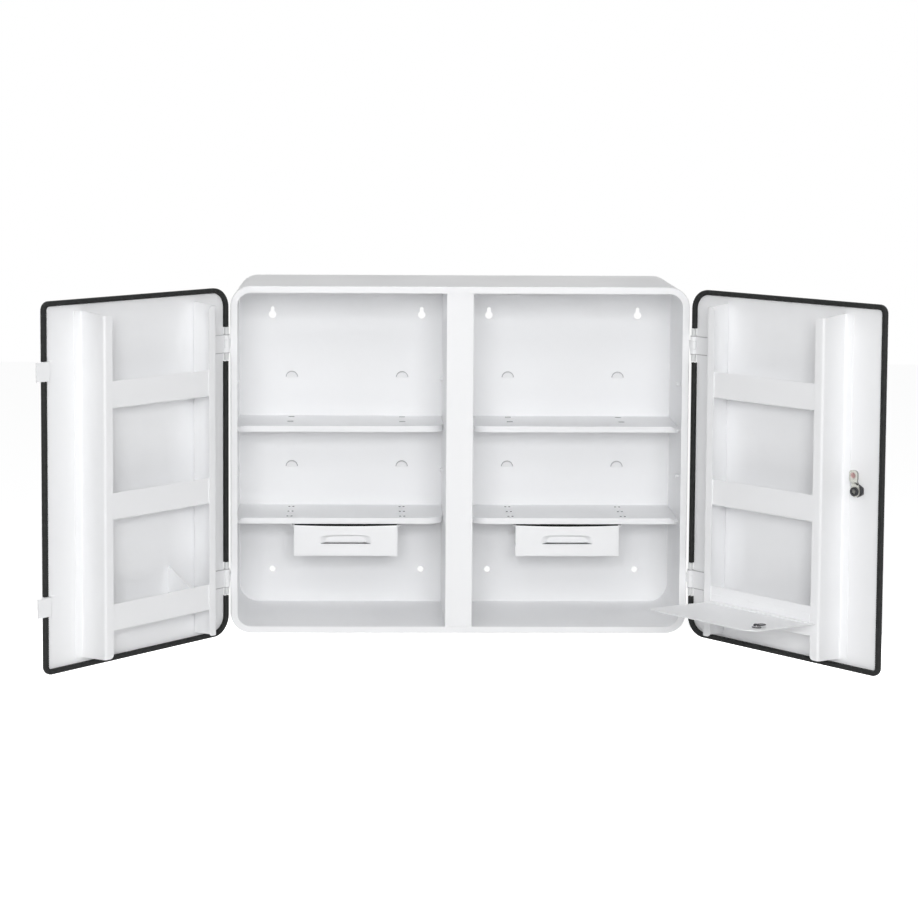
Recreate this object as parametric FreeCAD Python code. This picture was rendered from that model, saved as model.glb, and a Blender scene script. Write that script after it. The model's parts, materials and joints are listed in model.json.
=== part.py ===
import FreeCAD, Part
import math
import os

# A double-door steel first aid cabinet for a wall, shown with both doors open.
# Millimetres. X runs to the right, Y into the wall, Z up. The origin is the middle of the
# back face, where the cabinet meets the wall. Each piece is made in the pose of the photograph.
# A door's own pieces are drawn closed, in the door's coordinates: u runs from the hinge pin
# to the door's free edge, w from the door's inner face into the cabinet, z is up.

# Carcass
width = 604.0
height = 462.0
depth = 190.0
sheet = 1.0
corner = 27.0
rim = 9.0
rim_round = 1.4
column_width = 36.0
column_setback = 2.0
column_round = 1.4

# Clearances
fit_gap = 0.2
run_gap = 0.3
pin_play = 0.05
overrun = 1.0

# Holes in the back for wall screws
hole_spread = 104.0
keyhole_below_top = 55.5
keyhole_head = 10.5
keyhole_slot = 5.2
keyhole_rise = 8.5
screw_hole = 8.0
screw_hole_above_floor = 46.0

# Pressed lugs on the back and studs on the side walls, which carry the shelves
lug_radius = 7.5
lug_depth = 8.5
lug_proud = 3.0
lug_spread = 77.0
lug_pitch = 63.0
lug_levels = 4
stud_diameter = 5.0
stud_length = 5.0
stud_from_front = 82.0
column_stud_from_back = 60.0

# Shelves
shelf_depth = 101.5
shelf_lip = 8.0
shelf_round = 25.0
shelf_ear_width = 8.0
shelf_ear_reach = 8.5
shelf_side_gap = 0.5
lower_shelf_above_floor = 137.5
shelf_step_levels = 2
slot_length = 8.0
slot_width = 5.0
upper_slot_start = 12.0
upper_slot_step = 45.0
upper_slot_count = 2
lower_slot_start = 15.0
lower_slot_step = 36.5
lower_slot_count = 3

# Drawers and their runners under the lower shelves
drawer_width = 141.0
drawer_height = 42.0
drawer_top_gap = 2.0
drawer_top_dip = 1.5
drawer_inset = 4.5
drawer_back_gap = 8.0
drawer_back_height = 30.0
drawer_flange = 6.2
runner_drop = 11.5
runner_foot = 6.5
runner_flange = 6.5
hook_width = 3.0
hook_thickness = 2.4
hook_rise = 1.4
pull_length = 69.0
pull_height = 10.0
pull_depth = 6.0
pull_taper = 6.0
pull_brow = 2.4
pull_below_top = 15.5

# Door leaves
axis_out = 5.0
axis_forward = 5.5
door_edge = 2.5
door_meeting = 1.0
door_margin = 1.0
door_hinge_corner = 26.0
door_free_corner = 11.0
left_open_angle = 133.5
right_open_angle = 132.0
leaf_inset = 0.5
leaf_edge_round = 0.5
fold_height = 4.0

# Rubber seal round each door
seal_width = 5.8
seal_depth = 5.2
seal_outer_wall = 2.1
seal_play = 0.1
seal_round = 1.4

# Door hinges
hinge_inset = 75.5
knuckle_radius = 4.4
pin_radius = 2.5
centre_knuckle = 10.0
hinge_leaf_height = 24.5
hinge_leaf_sheet = 1.5
hinge_leaf_length = 25.0
hinge_leaf_round = 1.5
carcass_leaf_length = 23.0
carcass_leaf_start = 0.8
sleeve_radius = 3.2
sleeve_length = 9.0
hinge_relief = 5.2

# Posts and trays of the door racks
post_depth = 44.5
post_lip = 13.0
post_foot = 12.0
post_bend = 2.5
post_lip_round = 5.0
post_end_slope = 3.5
post_below_top = 15.0
post_above_bottom = 12.0
post_from_pin = 58.0
post_from_free_edge = 62.5
tray_height = 34.0
tray_bend = 1.5
top_tray_drop = 134.0
bottom_tray_rise = 49.0
flap_tray_height = 38.5
flap_tray_rise = 44.0
divider_from_pin = 101.5
divider_above_tray = 24.0

# Strike tabs of the left door
tab_inset = 85.2
tab_height = 23.5
tab_reach = 11.5
tab_foot_start = 24.0
tab_foot_end = 12.5
tab_step_run = 3.5
tab_bend = 0.8

# Flap over the right door's bottom compartment
flap_open_angle = 85.5
flap_height = 124.0
flap_from_lip = 2.5
flap_over_lip = 9.5
flap_free_round = 20.0
flap_hinge_round = 7.0
flap_pin_rise = 18.0
flap_pin_out = 1.8
flap_knuckle_radius = 1.6
flap_pin_radius = 0.8
flap_leaf_sheet = 0.8
flap_leaf_height = 10.0
flap_leaf_inset = 2.0
flap_knuckle_count = 11
flap_start = 2.0

# Lock of the right door
lock_from_free_edge = 38.0
lock_drop = 3.0
lock_barrel_radius = 5.8
lock_barrel_length = 7.0
lock_flange_radius = 12.0
lock_flange_height = 2.5
lock_plug_radius = 4.4
lock_keyway_length = 5.6
lock_keyway_width = 1.4
lock_keyway_depth = 2.0
lock_nut_radius = 8.0
lock_nut_height = 5.0
cam_reach = 27.0
cam_half_width = 7.0
cam_sheet = 2.0
cam_crank = 3.8
cam_crank_start = 9.0
cam_crank_run = 4.0
cam_bend = 0.6
cam_screw_radius = 5.7
cam_screw_height = 3.0
keeper_depth = 8.0

# Lock of the flap
flap_lock_above_pin = 97.0
flap_lock_side = 6.0
flap_lock_radius = 5.4
flap_lock_flange = 7.5
flap_lock_flange_height = 1.6
flap_lock_plug_radius = 3.2
flap_cam_reach = 15.5
flap_cam_half_width = 4.0
flap_cam_sheet = 1.2
flap_screw_radius = 3.4
flap_screw_height = 1.0

# Places that follow from the sizes above
half_width = width / 2
half_height = height / 2
inner_half_width = half_width - sheet
inner_half_height = half_height - sheet
module_centre = width / 4
column_face = -(depth - column_setback)
axis_x = half_width + axis_out
axis_y = -(depth + axis_forward)
door_free = axis_x - door_meeting
door_top = half_height - door_margin
hinge_height = half_height - hinge_inset
relief_half = hinge_leaf_height / 2 + run_gap + sleeve_length + run_gap * 2
floor_height = -inner_half_height
lower_shelf_top = floor_height + lower_shelf_above_floor
upper_shelf_top = lower_shelf_top + lug_pitch * shelf_step_levels
lug_top = lower_shelf_top - sheet - fit_gap
upper_slot_rows = [upper_slot_start + upper_slot_step * n for n in range(upper_slot_count)]
lower_slot_rows = [lower_slot_start + lower_slot_step * n for n in range(lower_slot_count)]
shelf_back = -(sheet + fit_gap)
shelf_front = shelf_back - shelf_depth
drawer_top = lower_shelf_top - shelf_lip - drawer_top_gap
post_hinge_web = post_from_pin
post_free_web = door_free - post_from_free_edge
post_top = door_top - post_below_top
post_bottom = -door_top + post_above_bottom
strip_front = post_depth - sheet - seal_play
tray_start = post_hinge_web + sheet + post_bend
tray_end = post_free_web - sheet - post_bend
top_tray = door_top - top_tray_drop
bottom_tray = -door_top + bottom_tray_rise
middle_tray = (top_tray + bottom_tray) / 2
flap_tray = -door_top + flap_tray_rise
lock_u = door_free - lock_from_free_edge
lock_z = -lock_drop
flap_pin_w = post_depth + flap_pin_out
flap_pin_z = flap_tray + flap_pin_rise
flap_inner = post_depth + run_gap + seal_play + flap_leaf_sheet
flap_lock_u = post_free_web - post_lip - flap_lock_side
flap_lock_z = flap_pin_z + flap_lock_above_pin

pieces = {}


def vec(x, y, z):
    return FreeCAD.Vector(x, y, z)


def block(x0, x1, y0, y1, z0, z1):
    """A box between two corners, given in any order."""
    low = vec(min(x0, x1), min(y0, y1), min(z0, z1))
    return Part.makeBox(abs(x1 - x0), abs(y1 - y0), abs(z1 - z0), low)


def cylinder(centre, axis, radius, length):
    return Part.makeCylinder(radius, length, centre, axis)


def joined(shapes):
    """Several shapes fused into one, with the seams between coplanar faces removed."""
    whole = shapes[0]
    for other in shapes[1:]:
        whole = whole.fuse(other)
    return whole.removeSplitter()


def rounded_outline(a0, a1, b0, b1, radii, place):
    """A rectangle with its own radius at each corner, from (a0, b0) round to (a0, b1)."""
    corners = [(a0, b0), (a1, b0), (a1, b1), (a0, b1)]
    edges = []
    points = []
    for index, (a, b) in enumerate(corners):
        radius = radii[index]
        before = corners[index - 1]
        after = corners[(index + 1) % 4]
        to_before = (sign(before[0] - a), sign(before[1] - b))
        to_after = (sign(after[0] - a), sign(after[1] - b))
        start = (a + to_before[0] * radius, b + to_before[1] * radius)
        end = (a + to_after[0] * radius, b + to_after[1] * radius)
        centre = (start[0] + to_after[0] * radius, start[1] + to_after[1] * radius)
        reach = math.sqrt(0.5) * radius
        middle = (
            centre[0] - (to_before[0] + to_after[0]) * reach,
            centre[1] - (to_before[1] + to_after[1]) * reach,
        )
        points.append((start, middle, end, radius))
    for index, (start, middle, end, radius) in enumerate(points):
        if radius > 0:
            edges.append(Part.Arc(place(*start), place(*middle), place(*end)).toShape())
        following = points[(index + 1) % 4][0]
        edges.append(Part.makeLine(place(*end), place(*following)))
    return Part.Face(Part.Wire(edges))


def sign(value):
    return (value > 0) - (value < 0)


def slab(x0, x1, z0, z1, radii, y0, y1):
    """A plate that stands facing Y, with rounded corners."""
    face = rounded_outline(x0, x1, z0, z1, radii, lambda a, b: vec(a, y0, b))
    return face.extrude(vec(0, y1 - y0, 0))


def ring(x0, x1, z0, z1, radii, wall, y0, y1):
    """A frame of even width, which follows the rounded corners of its outside."""
    outer = slab(x0, x1, z0, z1, radii, y0, y1)
    inner_radii = [max(r - wall, 0) for r in radii]
    reach = overrun * sign(y1 - y0)
    inner = slab(x0 + wall, x1 - wall, z0 + wall, z1 - wall, inner_radii, y0 - reach, y1 + reach)
    return outer.cut(inner)


def bent_sheet(points, bend, thickness, place, travel):
    """Sheet metal bent along a centre line of points, pushed out along the travel vector."""
    half = thickness / 2
    middle_radius = bend + half
    left = []
    right = []

    def unit(p, q):
        length = math.hypot(q[0] - p[0], q[1] - p[1])
        return ((q[0] - p[0]) / length, (q[1] - p[1]) / length)

    first = unit(points[0], points[1])
    left.append(("line", (points[0][0] - first[1] * half, points[0][1] + first[0] * half)))
    right.append(("line", (points[0][0] + first[1] * half, points[0][1] - first[0] * half)))
    for before, at, after in zip(points, points[1:], points[2:]):
        come = unit(before, at)
        go = unit(at, after)
        cross = come[0] * go[1] - come[1] * go[0]
        turn = math.atan2(cross, come[0] * go[0] + come[1] * go[1])
        way = sign(turn)
        cut = middle_radius * math.tan(abs(turn) / 2)
        start = (at[0] - come[0] * cut, at[1] - come[1] * cut)
        end = (at[0] + go[0] * cut, at[1] + go[1] * cut)
        centre = (
            start[0] - come[1] * middle_radius * way,
            start[1] + come[0] * middle_radius * way,
        )
        out = unit(centre, at)
        for side, path in ((1, left), (-1, right)):
            radius = middle_radius - side * way * half
            path.append(
                (
                    "arc",
                    (start[0] - come[1] * half * side, start[1] + come[0] * half * side),
                    (centre[0] + out[0] * radius, centre[1] + out[1] * radius),
                    (end[0] - go[1] * half * side, end[1] + go[0] * half * side),
                )
            )
    last = unit(points[-2], points[-1])
    end_left = (points[-1][0] - last[1] * half, points[-1][1] + last[0] * half)
    end_right = (points[-1][0] + last[1] * half, points[-1][1] - last[0] * half)

    def edges_of(path, end):
        made = []
        at = path[0][1]
        for step in path[1:]:
            made.append(Part.makeLine(place(*at), place(*step[1])))
            made.append(Part.Arc(place(*step[1]), place(*step[2]), place(*step[3])).toShape())
            at = step[3]
        made.append(Part.makeLine(place(*at), place(*end)))
        return made

    edges = edges_of(left, end_left) + [Part.makeLine(place(*end_left), place(*end_right))]
    edges += edges_of(right, end_right)
    edges.append(Part.makeLine(place(*left[0][1]), place(*right[0][1])))
    wire = Part.Wire(Part.__sortEdges__(edges))
    return Part.Face(wire).extrude(travel)


def polygon(points, travel):
    """A flat plate with straight edges, pushed out along the travel vector."""
    corners = [vec(*p) for p in points]
    face = Part.Face(Part.makePolygon(corners + corners[:1]))
    return face.extrude(travel)


def solid_of(corners, faces):
    """A solid with flat faces, each given as the numbers of its corners."""
    made = []
    for face in faces:
        loop = [vec(*corners[n]) for n in face]
        made.append(Part.Face(Part.makePolygon(loop + loop[:1])))
    return Part.Solid(Part.makeShell(made))


def mirrored(shape):
    return shape.mirror(vec(0, 0, 0), vec(1, 0, 0))


def on_both_sides(shape):
    return [shape, mirrored(shape)]


def keep(name, *shapes):
    """Store a piece, as one solid or as a group of separate solids."""
    solids = [s for shape in shapes for s in shape.Solids]
    pieces[name] = solids[0] if len(solids) == 1 else Part.makeCompound(solids)


# Carcass shell: the wrapped sides with their turned-in front rim
def carcass_shell():
    radii = [corner] * 4
    outer = slab(-half_width, half_width, -half_height, half_height, radii, -depth, 0)
    front = [e for e in outer.Edges if abs(e.BoundBox.YMax + depth) < fit_gap]
    outer = outer.makeFillet(rim_round, front)
    inner_radii = [corner - sheet] * 4
    room = slab(
        -inner_half_width, inner_half_width, -inner_half_height, inner_half_height,
        inner_radii, -(depth - sheet), overrun,
    )
    mouth_half_width = half_width - rim
    mouth_half_height = half_height - rim
    mouth = slab(
        -mouth_half_width, mouth_half_width, -mouth_half_height, mouth_half_height,
        [corner - rim] * 4, -(depth + overrun), -(depth - sheet - overrun),
    )
    keep("carcass_shell", outer.cut(room).cut(mouth))


# Back panel: keyholes and screw holes for the wall, and pressed lugs for the shelves
def lug(x, top):
    """A half-moon pressed out of the back: proud along its arc, flush at its chord."""
    low = top - lug_depth
    centre = top - lug_radius
    disc = cylinder(vec(x, -sheet, centre), vec(0, -1, 0), lug_radius, lug_proud)
    wedge = polygon(
        [
            (x - lug_radius, -sheet, low),
            (x - lug_radius, -(sheet + lug_proud), top),
            (x - lug_radius, -sheet, top),
        ],
        vec(lug_radius * 2, 0, 0),
    )
    return disc.common(wedge)


def back_panel():
    gap = fit_gap
    panel = slab(
        -(inner_half_width - gap), inner_half_width - gap,
        -(inner_half_height - gap), inner_half_height - gap,
        [corner - sheet - gap] * 4, -sheet, 0,
    )
    keyhole_z = half_height - keyhole_below_top
    screw_z = floor_height + screw_hole_above_floor
    start = -(sheet + overrun)
    length = sheet + overrun * 2
    for side in (-1, 1):
        for way in (-1, 1):
            x = side * (module_centre + way * hole_spread)
            head = cylinder(vec(x, start, keyhole_z), vec(0, 1, 0), keyhole_head / 2, length)
            slot_top = keyhole_z + keyhole_rise
            slot_end = cylinder(vec(x, start, slot_top), vec(0, 1, 0), keyhole_slot / 2, length)
            slot = block(
                x - keyhole_slot / 2, x + keyhole_slot / 2, start, start + length,
                keyhole_z, slot_top,
            )
            screw = cylinder(vec(x, start, screw_z), vec(0, 1, 0), screw_hole / 2, length)
            panel = panel.cut(head).cut(slot_end).cut(slot).cut(screw)
    lugs = [panel]
    for side in (-1, 1):
        for way in (-1, 1):
            for level in range(lug_levels):
                x = side * (module_centre + way * lug_spread)
                lugs.append(lug(x, lug_top + lug_pitch * level))
    keep("back_panel", joined(lugs))


# Centre column: a channel from the front face to the back panel, with the lock's keeper slot
def centre_column():
    half = column_width / 2
    top = inner_half_height - fit_gap
    back = -(sheet + fit_gap)
    outer = block(-half, half, column_face, back, -top, top)
    edges = [
        e for e in outer.Edges
        if abs(e.BoundBox.YMax - column_face) < fit_gap and e.BoundBox.ZLength > top
    ]
    outer = outer.makeFillet(column_round, edges)
    room = block(
        -(half - sheet), half - sheet, column_face + sheet, back + overrun,
        -(top + overrun), top + overrun,
    )
    cam_face = axis_y + lock_barrel_length + run_gap + cam_crank
    keeper = block(
        half - sheet - overrun, half + overrun,
        cam_face - overrun, cam_face + keeper_depth,
        lock_z - cam_half_width - overrun, lock_z + cam_reach + overrun,
    )
    keep("centre_column", outer.cut(room).cut(keeper))


# Shelves: a plate with a turned-down front lip that wraps round the corner at the column
def shelf_outline(inset, reach):
    """The plan of the right-hand shelf, drawn smaller by the inset."""
    inner = column_width / 2 + shelf_side_gap
    outer = inner_half_width - shelf_side_gap
    x0 = inner + inset
    x1 = outer + reach
    y0 = shelf_front + inset
    y1 = shelf_back + reach
    radius = shelf_round - inset
    return rounded_outline(x0, x1, y0, y1, [radius, 0, 0, 0], lambda a, b: vec(a, b, 0))


def shelf(top, slot_rows):
    plate = shelf_outline(0, 0).extrude(vec(0, 0, -sheet))
    lip = shelf_outline(0, 0).extrude(vec(0, 0, -shelf_lip))
    lip = lip.cut(shelf_outline(sheet, overrun).extrude(vec(0, 0, -shelf_lip)))
    behind = block(0, width, shelf_front + shelf_round, overrun, overrun, -(shelf_lip + overrun))
    lip = lip.cut(behind)
    outer = inner_half_width - shelf_side_gap
    ear = block(
        outer - shelf_ear_width, outer, shelf_front + sheet, shelf_front - shelf_ear_reach,
        -sheet, 0,
    )
    whole = joined([plate, lip, ear])
    for row in slot_rows:
        for way in (-1, 1):
            x = module_centre + way * lug_spread
            whole = whole.cut(
                block(
                    x - slot_length / 2, x + slot_length / 2,
                    shelf_back - row - slot_width / 2, shelf_back - row + slot_width / 2,
                    -(sheet + overrun), overrun,
                )
            )
    whole.translate(vec(0, 0, top))
    return whole


def shelves():
    upper = shelf(upper_shelf_top, upper_slot_rows)
    lower = shelf(lower_shelf_top, lower_slot_rows)
    keep("shelf_upper_right", upper)
    keep("shelf_upper_left", mirrored(upper))
    keep("shelf_lower_right", lower)
    keep("shelf_lower_left", mirrored(lower))


def shelf_studs():
    """Studs in the side walls and the column, one below each level of the lugs."""
    made = []
    radius = stud_diameter / 2
    for level in range(lug_levels):
        z = lug_top + lug_pitch * level - radius
        outer = vec(inner_half_width, -(depth - stud_from_front), z)
        inner = vec(column_width / 2, -column_stud_from_back, z)
        made += on_both_sides(cylinder(outer, vec(-1, 0, 0), radius, stud_length))
        made += on_both_sides(cylinder(inner, vec(1, 0, 0), radius, stud_length))
    keep("shelf_studs", *made)


# Drawer runners: two bent angles that hook into the slots of the lower shelf
def drawer_runners():
    under = lower_shelf_top - sheet
    web = drawer_width / 2 + runner_flange / 2
    front = shelf_front + drawer_inset - sheet
    back = shelf_back - drawer_back_gap
    half = sheet / 2
    made = []
    for way in (-1, 1):
        line = [
            (module_centre + way * (web - runner_foot), under - runner_drop + half),
            (module_centre + way * web, under - runner_drop + half),
            (module_centre + way * web, under - half),
            (module_centre + way * (web + runner_flange), under - half),
        ]
        angle = bent_sheet(
            line, half, sheet, lambda a, b: vec(a, front, b), vec(0, back - front, 0)
        )
        parts = [angle]
        x = module_centre + way * lug_spread
        for row in lower_slot_rows:
            y = shelf_back - row
            top = lower_shelf_top + hook_rise
            stem = block(
                x - hook_width / 2, x + hook_width / 2,
                y - hook_thickness / 2, y + hook_thickness / 2, under - half, top,
            )
            finger = block(
                x - hook_width / 2, x + hook_width / 2,
                y - hook_thickness / 2, y + hook_thickness * 1.5,
                lower_shelf_top + fit_gap, top,
            )
            parts += [stem, finger]
        made.append(joined(parts))
    keep("drawer_runners_right", *made)
    keep("drawer_runners_left", *[mirrored(m) for m in made])


# Drawers: a folded tray that hangs by its flanges, and a front with a pressed finger pull
def pull_pocket(shrink, slit):
    """The pocket behind the front as a solid, smaller by shrink and open to below by slit."""
    top = drawer_top - pull_below_top - shrink
    low = top - pull_height + shrink - slit
    half = pull_length / 2 - shrink
    tip = half - pull_taper
    deep = shelf_front + pull_depth - shrink
    brow = low + pull_brow
    c = module_centre
    corners = [
        (c + half, shelf_front, low), (c - half, shelf_front, low),
        (c - half, shelf_front, top), (c + half, shelf_front, top),
        (c + tip, deep, low), (c - tip, deep, low), (c - tip, deep, brow), (c + tip, deep, brow),
    ]
    faces = [(0, 1, 5, 4), (1, 2, 6), (1, 6, 5), (3, 0, 7), (0, 4, 7), (2, 3, 7, 6)]
    faces += [(4, 5, 6, 7), (0, 3, 2, 1)]
    return solid_of(corners, faces)


def drawer_front():
    c = module_centre
    half = drawer_width / 2
    face = shelf_front - sheet
    low = drawer_top - drawer_height
    dip = Part.Arc(
        vec(c + half, face, drawer_top),
        vec(c, face, drawer_top - drawer_top_dip),
        vec(c - half, face, drawer_top),
    ).toShape()
    edges = [
        Part.makeLine(vec(c - half, face, drawer_top), vec(c - half, face, low)),
        Part.makeLine(vec(c - half, face, low), vec(c + half, face, low)),
        Part.makeLine(vec(c + half, face, low), vec(c + half, face, drawer_top)),
        dip,
    ]
    panel = Part.Face(Part.Wire(edges)).extrude(vec(0, sheet, 0))
    pocket = pull_pocket(0, 0)
    hollow = pull_pocket(sheet, overrun)
    window = block(
        c - pull_length / 2 + pull_taper, c + pull_length / 2 - pull_taper,
        face - overrun, face + sheet + overrun,
        drawer_top - pull_below_top - pull_height, drawer_top - pull_below_top - sheet * 3,
    )
    return joined([panel, pocket]).cut(hollow).cut(window)


def drawer_tray():
    c = module_centre
    web = drawer_width / 2 + runner_flange / 2
    half = web - runner_foot - sheet
    front = shelf_front
    back = shelf_back - drawer_back_gap
    low = drawer_top - drawer_height + sheet / 2
    rail = lower_shelf_top - sheet - runner_drop + sheet + run_gap
    sides = []
    for way in (-1, 1):
        side = block(c + way * half, c + way * (half - sheet), front, back, low, rail + sheet)
        flange = block(
            c + way * half, c + way * (half + drawer_flange), front + drawer_inset, back,
            rail, rail + sheet,
        )
        sides += [side, flange]
    floor = block(c - half, c + half, front, back, low, low + sheet)
    rear = block(c - half, c + half, back - sheet, back, low, low + drawer_back_height)
    return joined([floor, rear] + sides)


def drawers():
    front = drawer_front()
    tray = drawer_tray()
    keep("right_drawer_front", front)
    keep("left_drawer_front", mirrored(front))
    keep("right_drawer_tray", tray)
    keep("left_drawer_tray", mirrored(tray))


# Door pieces, drawn closed in the door's own coordinates
def door_place(shape, side):
    """Carry a piece from the door's coordinates to the carcass, with the door open."""
    placed = shape.copy()
    if side > 0:
        placed = mirrored(placed)
    placed.translate(vec(side * axis_x, axis_y, 0))
    turn = right_open_angle if side > 0 else -left_open_angle
    placed.rotate(vec(side * axis_x, axis_y, 0), vec(0, 0, 1), turn)
    return placed


def closed_place(shape, side):
    """Carry a piece of the hinge that stays on the carcass to its side."""
    placed = mirrored(shape) if side > 0 else shape.copy()
    placed.translate(vec(side * axis_x, axis_y, 0))
    return placed


def door_radii(inset):
    hinge = door_hinge_corner - inset
    free = door_free_corner - inset
    return [hinge, free, free, hinge]


def door_panel(holes):
    inset = leaf_inset
    skin = slab(
        door_edge + inset, door_free - inset, -door_top + inset, door_top - inset,
        door_radii(inset), -sheet, 0,
    )
    outside = [e for e in skin.Edges if abs(e.BoundBox.YMax + sheet) < fit_gap]
    skin = skin.makeFillet(leaf_edge_round, outside)
    inset = seal_outer_wall
    fold = ring(
        door_edge + inset, door_free - inset, -door_top + inset, door_top - inset,
        door_radii(inset), sheet, 0, fold_height,
    )
    whole = joined([skin, fold])
    for way in (-1, 1):
        z = way * hinge_height
        whole = whole.cut(
            block(0, hinge_relief, -(sheet + overrun), overrun, z - relief_half, z + relief_half)
        )
        whole = whole.cut(
            block(
                0, door_edge + inset + sheet + overrun, 0, fold_height + overrun,
                z - relief_half, z + relief_half,
            )
        )
    for hole in holes:
        whole = whole.cut(hole)
    return whole


def door_seal(gaps):
    """The rubber edging: a channel over the door's fold, left out at the hinges and tabs."""
    band = ring(
        door_edge, door_free, -door_top, door_top, door_radii(0), seal_width, 0, seal_depth
    )
    tops = [e for e in band.Edges if abs(e.BoundBox.YMin - seal_depth) < fit_gap]
    band = band.makeFillet(seal_round, tops)
    inset = seal_outer_wall - seal_play
    channel = ring(
        door_edge + inset, door_free - inset, -door_top + inset, door_top - inset,
        door_radii(inset), sheet + seal_play * 2, -overrun, fold_height + seal_play,
    )
    band = band.cut(channel)
    for u0, u1, z0, z1 in gaps:
        band = band.cut(block(u0, u1, -overrun, seal_depth + overrun, z0, z1))
    return band


def hinge_gaps():
    gaps = []
    for way in (-1, 1):
        z = way * hinge_height
        gaps.append((0, door_edge + seal_width + overrun, z - relief_half, z + relief_half))
    return gaps


def tab_gaps():
    gaps = []
    for way in (-1, 1):
        z = way * (door_top - tab_inset)
        half = tab_height / 2 + run_gap
        gaps.append((door_free - seal_width - overrun, door_free + overrun, z - half, z + half))
    return gaps


def post(web, way):
    """A folded upright: foot on the door, web, and a lip turned to the other post."""
    half = sheet / 2
    at = web + way * half
    foot = at - way * (post_foot - half)
    lip = at + way * (post_lip - half)
    line = [(foot, half), (at, half), (at, post_depth - half), (lip, post_depth - half)]
    body = bent_sheet(
        line, post_bend, sheet, lambda a, b: vec(a, b, post_bottom),
        vec(0, 0, post_top - post_bottom),
    )
    low = min(foot, lip) - overrun
    span = abs(lip - foot) + overrun * 2
    for end, up in ((post_top, 1), (post_bottom, -1)):
        wedge = polygon(
            [
                (low, sheet, end + up * fit_gap),
                (low, post_depth + overrun, end + up * fit_gap),
                (low, post_depth + overrun, end - up * post_end_slope),
            ],
            vec(span, 0, 0),
        )
        body = body.cut(wedge)
        tip = end - up * post_end_slope
        edge = at + way * (post_lip - half)
        square = block(
            edge + way * overrun, edge - way * post_lip_round,
            post_depth - sheet - overrun, post_depth + overrun,
            tip + up * overrun * 2, tip - up * post_lip_round,
        )
        disc = cylinder(
            vec(edge - way * post_lip_round, post_depth - sheet - overrun * 2, tip - up * post_lip_round),
            vec(0, 1, 0), post_lip_round, sheet + overrun * 4,
        )
        body = body.cut(square.cut(disc))
    return body


def tray(bottom, tall):
    """A strip across the posts with its floor turned in to the door."""
    half = sheet / 2
    line = [
        (fit_gap, bottom + half),
        (strip_front - half, bottom + half),
        (strip_front - half, bottom + tall),
    ]
    return bent_sheet(
        line, tray_bend, sheet, lambda a, b: vec(tray_start, a, b),
        vec(tray_end - tray_start, 0, 0),
    )


def tray_divider():
    low = bottom_tray + sheet
    back = fit_gap
    front = strip_front - sheet - fit_gap
    rise = bottom_tray + tray_height
    corner_cut = tray_bend
    return polygon(
        [
            (divider_from_pin, back, low),
            (divider_from_pin, front - corner_cut, low),
            (divider_from_pin, front, low + corner_cut),
            (divider_from_pin, front, rise),
            (divider_from_pin, back, rise + divider_above_tray),
        ],
        vec(sheet, 0, 0),
    )


def strike_tab(z):
    half = sheet / 2
    over = seal_depth + run_gap + half
    step_end = door_free - tab_foot_end + tab_step_run
    line = [
        (door_free - tab_foot_start, half),
        (door_free - tab_foot_end, half),
        (step_end, over),
        (door_free + tab_reach, over),
    ]
    return bent_sheet(
        line, tab_bend, sheet, lambda a, b: vec(a, b, z - tab_height / 2), vec(0, 0, tab_height)
    )


def door_hinge_leaf(z):
    """The door's half of a hinge: a leaf on the inner face with two outer knuckles."""
    half = hinge_leaf_height / 2
    gap_half = centre_knuckle / 2 + run_gap
    leaf = slab(
        0, hinge_leaf_length, z - half, z + half,
        [0, hinge_leaf_round, hinge_leaf_round, 0], 0, hinge_leaf_sheet,
    )
    barrel = cylinder(vec(0, 0, z - half), vec(0, 0, 1), knuckle_radius, hinge_leaf_height)
    whole = joined([leaf, barrel])
    room = block(
        -(knuckle_radius + overrun), hinge_relief + run_gap, -(knuckle_radius + overrun),
        knuckle_radius + overrun, z - gap_half, z + gap_half,
    )
    bore = cylinder(
        vec(0, 0, z - half - overrun), vec(0, 0, 1), pin_radius + pin_play,
        hinge_leaf_height + overrun * 2,
    )
    return whole.cut(room).cut(bore)


def carcass_hinge_leaf(z):
    """The carcass's half of a hinge: a leaf on the side wall with the centre knuckle."""
    half = centre_knuckle / 2
    leaf = block(
        axis_out, axis_out - hinge_leaf_sheet, carcass_leaf_start, carcass_leaf_length,
        z - half, z + half,
    )
    barrel = cylinder(vec(0, 0, z - half), vec(0, 0, 1), knuckle_radius, centre_knuckle)
    bore = cylinder(
        vec(0, 0, z - half - overrun), vec(0, 0, 1), pin_radius + pin_play,
        centre_knuckle + overrun * 2,
    )
    return joined([leaf, barrel]).cut(bore)


def hinge_pin(z):
    half = hinge_leaf_height / 2 + run_gap + sleeve_length
    return cylinder(vec(0, 0, z - half), vec(0, 0, 1), pin_radius, half * 2)


def hinge_sleeves(z):
    made = []
    start = hinge_leaf_height / 2 + run_gap
    for way in (-1, 1):
        low = z + start if way > 0 else z - start - sleeve_length
        tube = cylinder(vec(0, 0, low), vec(0, 0, 1), sleeve_radius, sleeve_length)
        bore = cylinder(
            vec(0, 0, low - overrun), vec(0, 0, 1), pin_radius + pin_play,
            sleeve_length + overrun * 2,
        )
        made.append(tube.cut(bore))
    return made


def hinges():
    leaves = []
    pins = []
    sleeves = []
    for side in (-1, 1):
        for way in (-1, 1):
            z = way * hinge_height
            leaves.append(closed_place(carcass_hinge_leaf(z), side))
            pins.append(closed_place(hinge_pin(z), side))
            sleeves += [closed_place(s, side) for s in hinge_sleeves(z)]
    keep("carcass_hinge_leaves", *leaves)
    keep("hinge_pins", *pins)
    keep("hinge_pin_sleeves", *sleeves)


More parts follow.
